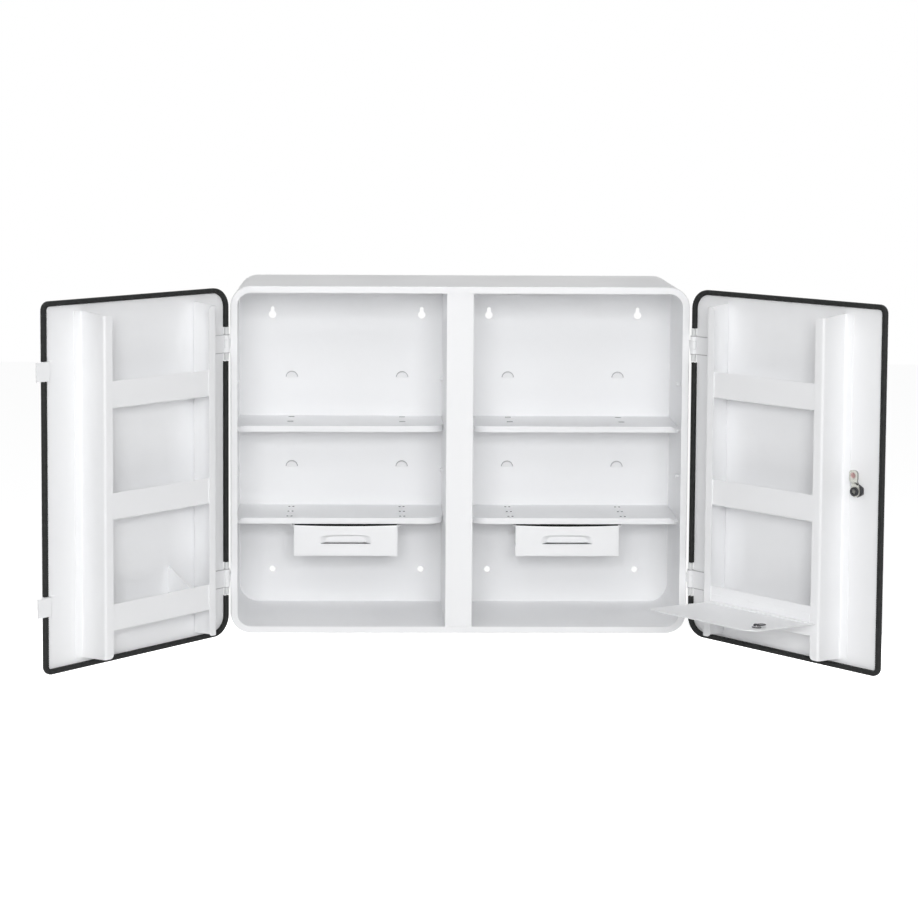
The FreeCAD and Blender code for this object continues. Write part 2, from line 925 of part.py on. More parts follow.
def common_door_pieces(side, name, holes, gaps):
    keep(name + "_door_panel", door_place(door_panel(holes), side))
    keep(name + "_door_seal", door_place(door_seal(gaps), side))
    leaves = [door_place(door_hinge_leaf(way * hinge_height), side) for way in (-1, 1)]
    keep(name + "_door_hinge_leaves", *leaves)
    keep(name + "_door_post_hinge_side", door_place(post(post_hinge_web, 1), side))
    keep(name + "_door_post_free_side", door_place(post(post_free_web, -1), side))
    keep(name + "_door_tray_top", door_place(tray(top_tray, tray_height), side))
    keep(name + "_door_tray_middle", door_place(tray(middle_tray, tray_height), side))


def left_door():
    common_door_pieces(-1, "left", [], hinge_gaps() + tab_gaps())
    keep("left_door_tray_bottom", door_place(tray(bottom_tray, tray_height), -1))
    keep("left_door_tray_divider", door_place(tray_divider(), -1))
    tabs = [door_place(strike_tab(way * (door_top - tab_inset)), -1) for way in (-1, 1)]
    keep("left_door_strike_tabs", *tabs)


# Lock of the right door: housing through the door, turning plug, cranked cam and its screw
def lock_cylinder(radius, w0, w1):
    return cylinder(vec(lock_u, w0, lock_z), vec(0, 1, 0), radius, w1 - w0)


def lock_pieces():
    outside = -sheet
    barrel_end = lock_barrel_length
    bore = lock_plug_radius + pin_play
    flange = lock_cylinder(lock_flange_radius, outside - lock_flange_height, outside)
    rim_edges = [
        e for e in flange.Edges if abs(e.BoundBox.YMax - outside + lock_flange_height) < fit_gap
    ]
    flange = flange.makeFillet(sheet, rim_edges)
    housing = joined([flange, lock_cylinder(lock_barrel_radius, outside, barrel_end)])
    face = outside - lock_flange_height
    housing = housing.cut(lock_cylinder(bore, face - overrun, barrel_end + overrun))
    plug = lock_cylinder(lock_plug_radius, face + fit_gap, barrel_end + run_gap)
    keyway = block(
        lock_u - lock_keyway_width / 2, lock_u + lock_keyway_width / 2,
        face - overrun, face + lock_keyway_depth,
        lock_z - lock_keyway_length / 2, lock_z + lock_keyway_length / 2,
    )
    plug = plug.cut(keyway)
    back = barrel_end + run_gap
    half = cam_sheet / 2
    line = [
        (lock_z - cam_half_width, back + half),
        (lock_z + cam_crank_start, back + half),
        (lock_z + cam_crank_start + cam_crank_run, back + half + cam_crank),
        (lock_z + cam_reach, back + half + cam_crank),
    ]
    strip = bent_sheet(
        line, cam_bend, cam_sheet, lambda a, b: vec(lock_u - cam_half_width, b, a),
        vec(cam_half_width * 2, 0, 0),
    )
    plan = slab(
        lock_u - cam_half_width, lock_u + cam_half_width,
        lock_z - cam_half_width, lock_z + cam_reach,
        [cam_half_width - fit_gap] * 4, back - overrun, back + cam_sheet + cam_crank + overrun,
    )
    cam = strip.common(plan)
    screw_start = back + cam_sheet
    screw = lock_cylinder(cam_screw_radius, screw_start, screw_start + cam_screw_height)
    tops = [e for e in screw.Edges if e.BoundBox.YMin > screw_start + cam_screw_height - fit_gap]
    screw = screw.makeFillet(sheet, tops)
    corners = [math.radians(60 * n) for n in range(6)]
    nut = polygon(
        [
            (lock_u + lock_nut_radius * math.cos(a), 0, lock_z + lock_nut_radius * math.sin(a))
            for a in corners
        ],
        vec(0, lock_nut_height, 0),
    ).cut(lock_cylinder(lock_barrel_radius + seal_play, -overrun, lock_nut_height + overrun))
    keep("lock_housing", door_place(housing, 1))
    keep("lock_nut", door_place(nut, 1))
    keep("lock_plug", door_place(plug, 1))
    keep("lock_cam", door_place(cam, 1))
    keep("lock_cam_screw", door_place(screw, 1))


# Flap over the bottom compartment of the right door, drawn closed and then folded down
def flap_place(shape):
    folded = shape.copy()
    folded.rotate(vec(0, flap_pin_w, flap_pin_z), vec(1, 0, 0), -flap_open_angle)
    return door_place(folded, 1)


def flap_knuckles(odd):
    """Every other knuckle of the long hinge, as cylinders along the flap's pin."""
    start = post_hinge_web + post_lip + flap_leaf_inset
    end = post_free_web - post_lip - flap_leaf_inset
    pitch = (end - start) / flap_knuckle_count
    made = []
    for index in range(flap_knuckle_count):
        if index % 2 == odd:
            low = start + pitch * index + run_gap / 2
            made.append((low, low + pitch - run_gap))
    return start, end, made


def flap_hinge():
    start, end, fixed = flap_knuckles(0)
    moving = flap_knuckles(1)[2]
    axis = vec(1, 0, 0)
    bore_radius = flap_pin_radius + pin_play
    bore = cylinder(
        vec(start - overrun, flap_pin_w, flap_pin_z), axis, bore_radius,
        end - start + overrun * 2,
    )
    leaf_back = strip_front
    leaf = block(
        start, end, leaf_back, leaf_back + flap_leaf_sheet,
        flap_pin_z - flap_knuckle_radius, flap_pin_z + flap_leaf_height,
    )
    parts = [leaf]
    for low, high in fixed:
        at = vec(low, flap_pin_w, flap_pin_z)
        parts.append(cylinder(at, axis, flap_knuckle_radius, high - low))
        parts.append(
            block(
                low, high, leaf_back, flap_pin_w,
                flap_pin_z - flap_knuckle_radius, flap_pin_z - bore_radius - seal_play,
            )
        )
    keep("flap_hinge_fixed_leaf", door_place(joined(parts).cut(bore), 1))
    inner = flap_inner - flap_leaf_sheet
    leaf = block(
        start, end, inner, flap_inner, flap_pin_z + flap_start, flap_pin_z + flap_leaf_height
    )
    parts = [leaf]
    for low, high in moving:
        at = vec(low, flap_pin_w, flap_pin_z)
        parts.append(cylinder(at, axis, flap_knuckle_radius, high - low))
        parts.append(
            block(low, high, inner, flap_inner, flap_pin_z, flap_pin_z + flap_start + fit_gap)
        )
    keep("flap_hinge_moving_leaf", flap_place(joined(parts).cut(bore)))
    pin = cylinder(
        vec(start, flap_pin_w, flap_pin_z), axis, flap_pin_radius, end - start
    )
    keep("flap_hinge_pin", door_place(pin, 1))


def flap_cylinder(radius, w0, w1):
    low = min(w0, w1)
    return cylinder(vec(flap_lock_u, low, flap_lock_z), vec(0, 1, 0), radius, abs(w1 - w0))


def flap_pieces():
    left = post_hinge_web + post_lip + flap_from_lip
    right = post_free_web - post_lip + flap_over_lip
    outer = flap_inner + sheet
    plate = slab(
        left, right, flap_pin_z + flap_start, flap_pin_z + flap_start + flap_height,
        [0, 0, flap_free_round, flap_hinge_round], flap_inner, outer,
    ).cut(flap_cylinder(flap_lock_radius + seal_play, flap_inner - overrun, outer + overrun))
    keep("flap", flap_place(plate))
    lip_back = post_depth - sheet
    cam_front = lip_back - run_gap
    housing = joined(
        [
            flap_cylinder(flap_lock_radius, cam_front + run_gap, outer),
            flap_cylinder(flap_lock_flange, outer, outer + flap_lock_flange_height),
        ]
    )
    face = outer + flap_lock_flange_height
    bore = flap_lock_plug_radius + pin_play
    housing = housing.cut(flap_cylinder(bore, cam_front - overrun, face + overrun))
    plug = flap_cylinder(flap_lock_plug_radius, cam_front, face - fit_gap)
    keyway = block(
        flap_lock_u - lock_keyway_width / 2, flap_lock_u + lock_keyway_width / 2,
        face - lock_keyway_width, face + overrun,
        flap_lock_z - flap_cam_half_width / 2, flap_lock_z + flap_cam_half_width / 2,
    )
    plug = plug.cut(keyway)
    cam = slab(
        flap_lock_u - flap_cam_half_width, flap_lock_u + flap_cam_half_width,
        flap_lock_z - flap_cam_reach, flap_lock_z + flap_cam_half_width,
        [flap_cam_half_width - fit_gap] * 4, cam_front - flap_cam_sheet, cam_front,
    )
    screw = flap_cylinder(
        flap_screw_radius, cam_front - flap_cam_sheet - flap_screw_height,
        cam_front - flap_cam_sheet,
    )
    keep("flap_lock_housing", flap_place(housing))
    keep("flap_lock_plug", flap_place(plug))
    keep("flap_lock_cam", flap_place(cam))
    keep("flap_lock_screw", flap_place(screw))


def right_door():
    hole = lock_cylinder(lock_barrel_radius + seal_play, -(sheet + overrun), overrun)
    common_door_pieces(1, "right", [hole], hinge_gaps())
    keep("right_door_tray_bottom", door_place(tray(flap_tray, flap_tray_height), 1))


carcass_shell()
back_panel()
centre_column()
shelves()
shelf_studs()
drawer_runners()
drawers()
hinges()
left_door()
right_door()
lock_pieces()
flap_hinge()
flap_pieces()

os.makedirs("parts", exist_ok=True)
for name, shape in sorted(pieces.items()):
    shape.exportStep("parts/" + name + ".step")
    box = shape.BoundBox
    print(
        f"{name}: {len(shape.Solids)} solids, {shape.Volume:.0f} mm3, valid {shape.isValid()},"
        f" x {box.XMin:.1f} to {box.XMax:.1f}, y {box.YMin:.1f} to {box.YMax:.1f},"
        f" z {box.ZMin:.1f} to {box.ZMax:.1f}"
    )
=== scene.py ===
# %% [markdown]
# # A steel first aid cabinet with its doors open
# The cabinet hangs on a wall. Its carcass, shelves, drawers, doors and racks are folded from
# white sheet steel, each door is edged with ribbed black rubber, and the right door has a cam
# lock and a small flap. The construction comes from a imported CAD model, so this lesson is about
# the finish: light, camera, materials, and the pieces whose real form is finer than the solids.

# %% Load the fixed frame
import json
import math

import bmesh
import bpy
from mathutils import Matrix, Vector


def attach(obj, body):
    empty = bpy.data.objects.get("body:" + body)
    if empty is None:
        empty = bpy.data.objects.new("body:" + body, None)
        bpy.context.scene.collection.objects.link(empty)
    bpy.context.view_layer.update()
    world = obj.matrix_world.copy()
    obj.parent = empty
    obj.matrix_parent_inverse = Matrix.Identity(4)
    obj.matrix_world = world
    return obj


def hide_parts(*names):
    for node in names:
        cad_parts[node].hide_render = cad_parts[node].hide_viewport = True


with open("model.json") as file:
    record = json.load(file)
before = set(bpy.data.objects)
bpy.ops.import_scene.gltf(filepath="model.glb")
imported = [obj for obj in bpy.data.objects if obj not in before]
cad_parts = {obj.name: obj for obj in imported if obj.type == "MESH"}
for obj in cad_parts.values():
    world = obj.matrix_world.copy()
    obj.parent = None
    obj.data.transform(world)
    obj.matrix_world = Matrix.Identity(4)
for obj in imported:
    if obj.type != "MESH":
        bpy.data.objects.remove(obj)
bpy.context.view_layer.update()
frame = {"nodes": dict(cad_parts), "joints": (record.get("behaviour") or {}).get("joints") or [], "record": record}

scene = bpy.context.scene
nodes = frame["nodes"]

# %% [markdown]
# ## Units
# Blender works in metres here, and sheet metal is thought of in millimetres. One named unit
# lets every size below be written the way a sheet-metal drawing gives it.

# %% The millimetre
mm = 0.001
print("one millimetre is", mm, "m")

# %% [markdown]
# ## The doors' own coordinates
# Both doors stand open at different angles. A piece of a door is easiest to build flat, with x
# running from the hinge pin to the free edge, y up and z out of the door's inner face, and then
# to carry there with one matrix. The hinge's place, axis and angle are read from the joints, so
# nothing is measured twice. The left door's x axis points back to its pin, which keeps the
# coordinates right-handed, so no mesh is turned inside out.

# %% A matrix for each door
joint_of = {joint["name"]: joint for joint in frame["joints"]}
door_sides = ((-1, "left"), (1, "right"))


def door_matrix(side, word):
    """The place of one door's coordinates at rest. The right door's side is 1, the left's -1."""
    joint = joint_of[word + "_door_hinge"]
    open_angle = -math.radians(joint["range_deg"][0]) * side
    turn = Matrix.Rotation(open_angle, 3, "Z")
    out = turn @ Vector((0, 1, 0))
    along = turn @ Vector((-1, 0, 0))
    up = Vector((0, 0, 1))
    rows = Matrix((along, up, out)).transposed().to_4x4()
    return Matrix.Translation(Vector(joint["pos_m"])) @ rows


door_place = {side: door_matrix(side, word) for side, word in door_sides}
for side, place in door_place.items():
    print("door", side, "outward", [round(v, 3) for v in place.col[2][:3]])

# %% [markdown]
# ## Nodes
# Materials, shader groups and Geometry Nodes trees are all made of nodes. One helper adds a node
# and feeds its inputs, with plain values or with the outputs of other nodes, and lays the tree
# out in rows, so that it can be read in the editor. Another adds a math node.

# %% Helpers for nodes
nodes_per_row = 6
node_step = (220, 320)


def add_node(tree, kind, feed=None, **settings):
    """Add a node, set its properties, and feed its inputs with values or with outputs."""
    row, column = divmod(len(tree.nodes), nodes_per_row)
    node = tree.nodes.new(kind)
    node.location = (node_step[0] * column, -node_step[1] * row)
    for name, value in settings.items():
        setattr(node, name, value)
    for name, value in (feed or {}).items():
        if hasattr(value, "is_output"):
            tree.links.new(value, node.inputs[name])
        else:
            node.inputs[name].default_value = value
    return node


def maths(tree, operation, *values):
    """The output of a math node fed with numbers or outputs."""
    node = add_node(tree, "ShaderNodeMath", dict(enumerate(values)), operation=operation)
    return node.outputs[0]


# %% [markdown]
# ## Floor and background
# The photograph is a studio cut-out on pure white. Brightening the lamps until the background
# clips would burn out the white cabinet as well. So the lamps stay at a plain level, and only
# rays that come straight from the camera, or from a mirror-like surface, see a white world.

# %% A white world for the camera, a soft one for the cabinet
ambient_strength = 0.06
ambient_colour = (0.97, 0.98, 1.0, 1.0)
background_white = (1.0, 1.0, 1.0, 1.0)


def seen_directly(tree):
    """A factor that is 1 for camera, glossy and transmission rays."""
    ray = add_node(tree, "ShaderNodeLightPath").outputs
    first = maths(tree, "MAXIMUM", ray["Is Camera Ray"], ray["Is Glossy Ray"])
    return maths(tree, "MAXIMUM", first, ray["Is Transmission Ray"])


world = bpy.data.worlds.new("studio")
scene.world = world
world.use_nodes = True
sky = world.node_tree
sky.nodes.clear()
soft = add_node(
    sky, "ShaderNodeBackground", {"Color": ambient_colour, "Strength": ambient_strength})
white = add_node(sky, "ShaderNodeBackground", {"Color": background_white})
choose = add_node(
    sky, "ShaderNodeMixShader", {0: seen_directly(sky), 1: soft.outputs[0], 2: white.outputs[0]})
add_node(sky, "ShaderNodeOutputWorld", {"Surface": choose.outputs[0]})
print("ambient strength", ambient_strength)

# %% [markdown]
# The floor lies well below the cabinet, which hangs on its wall. It is a real diffuse surface,
# so it takes the cabinet's shadow. To the camera it glows almost white as well, so that it runs
# into the background without a horizon.

# %% The floor
floor_level = -0.95
floor_half = 9.0
floor_grey = 0.96
floor_glow = 0.9
floor_mesh = bpy.data.meshes.new("floor")
floor_corners = [(-1, -1), (1, -1), (1, 1), (-1, 1)]
floor_mesh.from_pydata(
    [(x * floor_half, y * floor_half, floor_level) for x, y in floor_corners], [], [(0, 1, 2, 3)])
floor = bpy.data.objects.new("floor", floor_mesh)
scene.collection.objects.link(floor)

floor_paint = bpy.data.materials.new("floor_paint")
floor_paint.use_nodes = True
paint = floor_paint.node_tree
paint.nodes.clear()
lit = add_node(
    paint, "ShaderNodeBsdfDiffuse", {"Color": (floor_grey, floor_grey, floor_grey, 1.0)})
glow = add_node(paint, "ShaderNodeEmission", {"Strength": floor_glow})
both = add_node(paint, "ShaderNodeAddShader", {0: lit.outputs[0], 1: glow.outputs[0]})
pick = add_node(
    paint, "ShaderNodeMixShader", {0: seen_directly(paint), 1: lit.outputs[0], 2: both.outputs[0]})
add_node(paint, "ShaderNodeOutputMaterial", {"Surface": pick.outputs[0]})
floor_mesh.materials.append(floor_paint)
print("floor at", floor_level)

# %% [markdown]
# ## Lamps
# A product studio lights white goods with large soft boxes from the front, so the shading stays
# gentle and the sheet edges read as thin grey lines. A box above the camera does most of the
# work, a high one and a top one light the upper faces, and a weak one on each side lifts the
# insides of the doors. A low box behind lights the back, which the photograph does not show. It
# stays below the level of the cabinet's top, so that the top doesn't shine towards the camera.

# %% Six soft boxes
aim_point = Vector((0.0, -0.2, -0.02))


def soft_box(name, place, width, height, watts):
    """A rectangular lamp at place, aimed at the cabinet."""
    lamp = bpy.data.lights.new(name, "AREA")
    lamp.shape = "RECTANGLE"
    lamp.size = width
    lamp.size_y = height
    lamp.energy = watts
    holder = bpy.data.objects.new(name, lamp)
    holder.location = place
    holder.rotation_mode = "QUATERNION"
    holder.rotation_quaternion = (aim_point - Vector(place)).to_track_quat("-Z", "Y")
    scene.collection.objects.link(holder)
    print(name, watts, "W")


soft_box("camera_box", (-0.1, -3.4, 0.8), 1.5, 0.7, 47)
soft_box("high_box", (-0.2, -4.2, 2.6), 3.0, 1.2, 30)
soft_box("top_box", (0.0, -0.6, 3.0), 3.0, 2.0, 26)
soft_box("right_box", (2.6, -3.0, 0.7), 1.6, 2.0, 11)
soft_box("left_box", (-2.6, -3.0, 0.7), 1.6, 2.0, 6)
soft_box("back_box", (0.4, 3.0, -0.35), 3.0, 0.9, 36)

# %% [markdown]
# ## Camera
# The photograph was solved for its camera together with the doors' angles. The camera stands a
# little over three metres in front of the cabinet and half a metre above its middle. Upright
# edges stay almost parallel in the photograph, so the camera looked nearly level and its lens was
# shifted. The shift here is less than the solved one and the rest was fitted again around it.
# That costs up to four pixels in places, and keeps the cabinet inside the frame when the camera
# is moved to another side.

# %% The photograph's camera
picture_width = 918
sensor_width = 36.0
focal_pixels = 2284.0
camera_place = Vector((-115.1, -3176.2, 480.9)) * mm
yaw, pitch, roll = (math.radians(v) for v in (-1.055, -4.369, -0.296))
centre_pixel = (415.0, 270.0)

camera_data = bpy.data.cameras.new("photo_camera")
camera = bpy.data.objects.new("photo_camera", camera_data)
scene.collection.objects.link(camera)
aim = Matrix.Rotation(yaw, 4, "Z") @ Matrix.Rotation(pitch, 4, "X") @ Matrix.Rotation(roll, 4, "Y")
upright = Matrix.Rotation(math.radians(90), 4, "X")
camera.matrix_world = Matrix.Translation(camera_place) @ aim @ upright
camera_data.sensor_width = sensor_width
camera_data.lens = focal_pixels / picture_width * sensor_width
camera_data.shift_x = (picture_width / 2 - centre_pixel[0]) / picture_width
camera_data.shift_y = (centre_pixel[1] - picture_width / 2) / picture_width
camera_data.dof.use_dof = False
scene.camera = camera
scene.view_settings.view_transform = "Standard"
print("lens", round(camera_data.lens, 1), "shift", camera_data.shift_x, camera_data.shift_y)

# %% [markdown]
# ## Shader groups
# Several finishes share an effect. Each effect is a node group with named sockets, so every
# material can give it its own numbers. A group gives only colours, masks and heights; the
# shader itself stays in the material.

# %% A helper that starts a group
socket_kinds = {
    "value": "NodeSocketFloat", "colour": "NodeSocketColor", "vector": "NodeSocketVector",
    "geometry": "NodeSocketGeometry", "material": "NodeSocketMaterial",
    "object": "NodeSocketObject",
}


def start_group(name, inputs, outputs, kind="ShaderNodeTree"):
    """A node group with named sockets, the outputs of its first node, and its last node."""
    group = bpy.data.node_groups.new(name, kind)
    for label, socket_kind, *start in inputs:
        socket = group.interface.new_socket(
            label, in_out="INPUT", socket_type=socket_kinds[socket_kind])
        if start:
            socket.default_value = start[0]
    for label, socket_kind in outputs:
        group.interface.new_socket(
            label, in_out="OUTPUT", socket_type=socket_kinds[socket_kind])
    given = add_node(group, "NodeGroupInput").outputs
    return group, given, add_node(group, "NodeGroupOutput")


def feed_end(group, end, **sockets):
    """Link the last node of a group to what it gives out."""
    for label, value in sockets.items():
        group.links.new(value, end.inputs[label])


def tinted(group, given, end, amount, second_colour):
    """Let an amount from 0 to 1 mix two given colours and two given gloss values."""
    tint = add_node(
        group, "ShaderNodeMix",
        {"Factor": amount, "A": given["Colour"], "B": given[second_colour]}, data_type="RGBA")
    gloss = add_node(
        group, "ShaderNodeMapRange",
        {"Value": amount, "To Min": given["Gloss Low"], "To Max": given["Gloss High"]})
    feed_end(group, end, Colour=tint.outputs["Result"], Roughness=gloss.outputs["Result"])


skin_outputs = [("Colour", "colour"), ("Roughness", "value"), ("Height", "value")]

# %% [markdown]
# Powder coat is sprayed as dry powder and melted on. It keeps a faint orange peel, about a
# millimetre and a half from bump to bump, and the film's thickness drifts slowly, which tints
# the white a little and changes its gloss.

# %% The powder coat's skin


def powder_coat_group():
    group, given, end = start_group(
        "powder_coat_skin",
        [
            ("Vector", "vector"),
            ("Colour", "colour", (0.90, 0.90, 0.91, 1.0)),
            ("Thin Colour", "colour", (0.88, 0.88, 0.90, 1.0)),
            ("Peel Scale", "value", 650.0), ("Drift Scale", "value", 7.0),
            ("Gloss Low", "value", 0.34), ("Gloss High", "value", 0.46),
        ],
        skin_outputs,
    )
    peel = add_node(
        group, "ShaderNodeTexNoise",
        {"Vector": given["Vector"], "Scale": given["Peel Scale"], "Detail": 2.0})
    drift = add_node(
        group, "ShaderNodeTexNoise",
        {"Vector": given["Vector"], "Scale": given["Drift Scale"], "Detail": 3.0})
    film = add_node(
        group, "ShaderNodeMapRange",
        {"Value": drift.outputs["Fac"], "From Min": 0.35, "From Max": 0.65})
    tinted(group, given, end, film.outputs["Result"], "Thin Colour")
    feed_end(group, end, Height=peel.outputs["Fac"])
    return group


powder_coat = powder_coat_group()
print("group", powder_coat.name, "nodes", len(powder_coat.nodes))

# %% [markdown]
# Handled metal and rubber are both crossed by fine marks, and one group serves both. Where a
# material squeezes the coordinates along one axis, the noise turns into thin lines along it.

# %% Fine directional marks


def fine_marks_group():
    group, given, end = start_group(
        "fine_marks",
        [
            ("Vector", "vector"),
            ("Colour", "colour", (0.6, 0.6, 0.6, 1.0)),
            ("Mark Colour", "colour", (0.7, 0.7, 0.7, 1.0)),
            ("Scale", "value", 400.0), ("Amount", "value", 0.5),
            ("Gloss Low", "value", 0.25), ("Gloss High", "value", 0.4),
        ],
        skin_outputs,
    )
    marks = add_node(
        group, "ShaderNodeTexNoise",
        {"Vector": given["Vector"], "Scale": given["Scale"], "Detail": 4.0})
    sharpen = add_node(
        group, "ShaderNodeMapRange",
        {"Value": marks.outputs["Fac"], "From Min": 0.42, "From Max": 0.62})
    amount = maths(group, "MULTIPLY", sharpen.outputs["Result"], given["Amount"])
    tinted(group, given, end, amount, "Mark Colour")
    feed_end(group, end, Height=amount)
    return group


fine_marks = fine_marks_group()
print("group", fine_marks.name, "nodes", len(fine_marks.nodes))

# %% [markdown]
# ## Materials
# Every finish is one shader fed by one group. What is constant, such as the metal's metallic
# value, is set on the shader itself.

# %% A finish from a group


def finish(name, group, values, bump, stretch=(1, 1, 1), fixed=None):
    """A material whose colour, roughness and bump come from a group on object coordinates."""
    material = bpy.data.materials.new(name)
    material.use_nodes = True
    tree = material.node_tree
    tree.nodes.clear()
    place = add_node(tree, "ShaderNodeTexCoord")
    mapping = add_node(
        tree, "ShaderNodeMapping", {"Vector": place.outputs["Object"], "Scale": stretch})
    skin = add_node(
        tree, "ShaderNodeGroup", {"Vector": mapping.outputs["Vector"], **values},
        node_tree=group).outputs
    relief = add_node(
        tree, "ShaderNodeBump",
        {"Strength": bump[0], "Distance": bump[1], "Height": skin["Height"]})
    shader = add_node(
        tree, "ShaderNodeBsdfPrincipled",
        {"Base Color": skin["Colour"], "Roughness": skin["Roughness"],
         "Normal": relief.outputs["Normal"], **(fixed or {})})
    add_node(tree, "ShaderNodeOutputMaterial", {"Surface": shader.outputs["BSDF"]})
    return material


def marked_finish(name, colour, mark_colour, scale, amount, gloss, bump, **others):
    """A finish crossed by fine marks, with the gloss as its low and high roughness."""
    values = {
        "Colour": (*colour, 1.0), "Mark Colour": (*mark_colour, 1.0), "Scale": scale,
        "Amount": amount, "Gloss Low": gloss[0], "Gloss High": gloss[1],
    }
    return finish(name, fine_marks, values, bump, **others)


# %% The six finishes of the cabinet
enamel_values = {"Colour": (0.95, 0.955, 0.965, 1.0), "Thin Colour": (0.94, 0.945, 0.957, 1.0)}
enamel_bump = (0.12, 0.05 * mm)
white_enamel = finish("white_enamel", powder_coat, enamel_values, bump=enamel_bump)
edging_rubber = marked_finish(
    "edging_rubber", (0.010, 0.0105, 0.0105), (0.026, 0.028, 0.027), 260.0, 0.7, (0.55, 0.72),
    bump=(0.25, 0.08 * mm), fixed={"Specular IOR Level": 0.25})
zinc_plate = marked_finish(
    "zinc_plate", (0.60, 0.61, 0.62), (0.70, 0.70, 0.69), 900.0, 0.5, (0.28, 0.42),
    bump=(0.1, 0.03 * mm), stretch=(1.0, 1.0, 0.12), fixed={"Metallic": 1.0})
lock_chrome = marked_finish(
    "lock_chrome", (0.72, 0.72, 0.73), (0.62, 0.62, 0.63), 1300.0, 0.3, (0.1, 0.2),
    bump=(0.05, 0.02 * mm), fixed={"Metallic": 1.0})
cam_steel = marked_finish(
    "cam_steel", (0.62, 0.61, 0.58), (0.5, 0.5, 0.48), 1100.0, 0.5, (0.22, 0.38),
    bump=(0.1, 0.02 * mm), stretch=(1.0, 1.0, 0.2), fixed={"Metallic": 1.0})
# Black oxide steel for nuts and caps. Its dark base colour also stands in for the dark reflections on the steel's
# facets, as painted reflection.
black_oxide_and_dark_reflection = marked_finish(
    "black_oxide_and_dark_reflection", (0.035, 0.035, 0.04), (0.12, 0.12, 0.12), 900.0, 0.4, (0.3, 0.45),
    bump=(0.1, 0.03 * mm), fixed={"Metallic": 0.6})
print("finishes", [material.name for material in bpy.data.materials])

# %% [markdown]
# The record names a material slot for each CAD node, so the finishes go on by slot.

# %% Dress the CAD nodes
finish_of_slot = {
    "white_enamel": white_enamel,
    "rubber_black": edging_rubber,
    "hinge_steel": zinc_plate,
    "lock_chrome": lock_chrome,
    "cam_steel": cam_steel,
    "lock_black": black_oxide_and_dark_reflection,
}
slot_of = {row["node"]: row["material_slot"] for row in frame["record"]["subparts"]}
for name, node in nodes.items():
    node.data.materials.clear()
    node.data.materials.append(finish_of_slot[slot_of[name]])
print("dressed", len(nodes), "nodes")

# %% [markdown]
# ## Ribbed rubber edging
# The edging is a rubber channel pushed over the door's fold. Its skin has a fine cross rib every
# couple of millimetres. It is a profile swept along a path with a size that swells at each rib,
# so Geometry Nodes build it. The path is the edging's middle line, a rounded rectangle in
# the door's own coordinates, and it stops where the hinges and the strike tabs cut the rubber.

# %% The middle line of the edging
edging_width = 6.6 * mm
edging_height = 5.25 * mm
edging_outer = (-0.2 * mm, 306 * mm, 230 * mm)
hinge_side_corner = 26 * mm
free_side_corner = 11 * mm
hinge_cut = (155.5 * mm, 22.15 * mm)
tab_cut = (144.8 * mm, 12.05 * mm)
line_step = 1.0 * mm
path_lift = 0.03 * mm
corner_steps = 12


def loop_points():
    """The edging's middle line as points, round from the lower hinge-side corner."""
    inset = edging_width / 2
    near, far, half = edging_outer[0] + inset, edging_outer[1] - inset, edging_outer[2] - inset
    corners = [
        (near, -half, hinge_side_corner - inset, 180), (far, -half, free_side_corner - inset, 270),
        (far, half, free_side_corner - inset, 0), (near, half, hinge_side_corner - inset, 90),
    ]
    points = []
    for u, v, radius, start in corners:
        centre = (u + radius * (1 if u == near else -1), v + radius * (1 if v < 0 else -1))
        for step in range(corner_steps + 1):
            angle = math.radians(start + 90 * step / corner_steps)
            points.append(
                (centre[0] + radius * math.cos(angle), centre[1] + radius * math.sin(angle))
            )
    dense = []
    for here, there in zip(points, points[1:] + points[:1]):
        length = math.dist(here, there)
        count = max(1, round(length / line_step))
        for step in range(count):
            part = step / count
            dense.append(tuple(a + (b - a) * part for a, b in zip(here, there)))
    return dense


def runs_between_cuts(side):
    """The loop's points in runs, with the points that a cut takes away left out."""
    near_limit = edging_outer[0] + edging_width
    far_limit = edging_outer[1] - edging_width

    def is_cut(point):
        at_hinge = point[0] < near_limit and abs(abs(point[1]) - hinge_cut[0]) < hinge_cut[1]
        at_tab = point[0] > far_limit and abs(abs(point[1]) - tab_cut[0]) < tab_cut[1]
        return at_hinge or (side < 0 and at_tab)

    points = loop_points()
    first = next(i for i, p in enumerate(points) if is_cut(p) and not is_cut(points[i - 1]))
    points = points[first:] + points[:first]
    runs = [[]]
    for point in points:
        if is_cut(point):
            if runs[-1]:
                runs.append([])
        else:
            runs[-1].append(point)
    return [run for run in runs if len(run) > 2]


def path_mesh(name, side):
    """The runs as a mesh of edges. On the left door the x axis points back to the pin."""
    mesh = bpy.data.meshes.new(name)
    vertices, edges = [], []
    for run in runs_between_cuts(side):
        start = len(vertices)
        vertices += [(u * side, v, path_lift) for u, v in run]
        edges += [(start + i, start + i + 1) for i in range(len(run) - 1)]
    mesh.from_pydata(vertices, edges, [])
    return mesh


for side, word in door_sides:
    print(word, "edging runs", [len(run) for run in runs_between_cuts(side)])

# %% [markdown]
# The tree resamples the path at a quarter of the rib pitch, so that each rib gets four rings of
# points. The size of every ring follows from its number. The profile is a rectangle whose two
# outer corners are rounded far more than the two that lie on the door. Along a curve with
# upright normals the profile's y axis points down, so the outer corners are those below zero.

# %% The sweep as a tree


def finish_tree(tree, given, end, made):
    """Make instances real, give them the material, and hand them out."""
    real = add_node(tree, "GeometryNodeRealizeInstances", {"Geometry": made})
    cover = add_node(
        tree, "GeometryNodeSetMaterial",
        {"Geometry": real.outputs["Geometry"], "Material": given["Material"]})
    feed_end(tree, end, Geometry=cover.outputs["Geometry"])


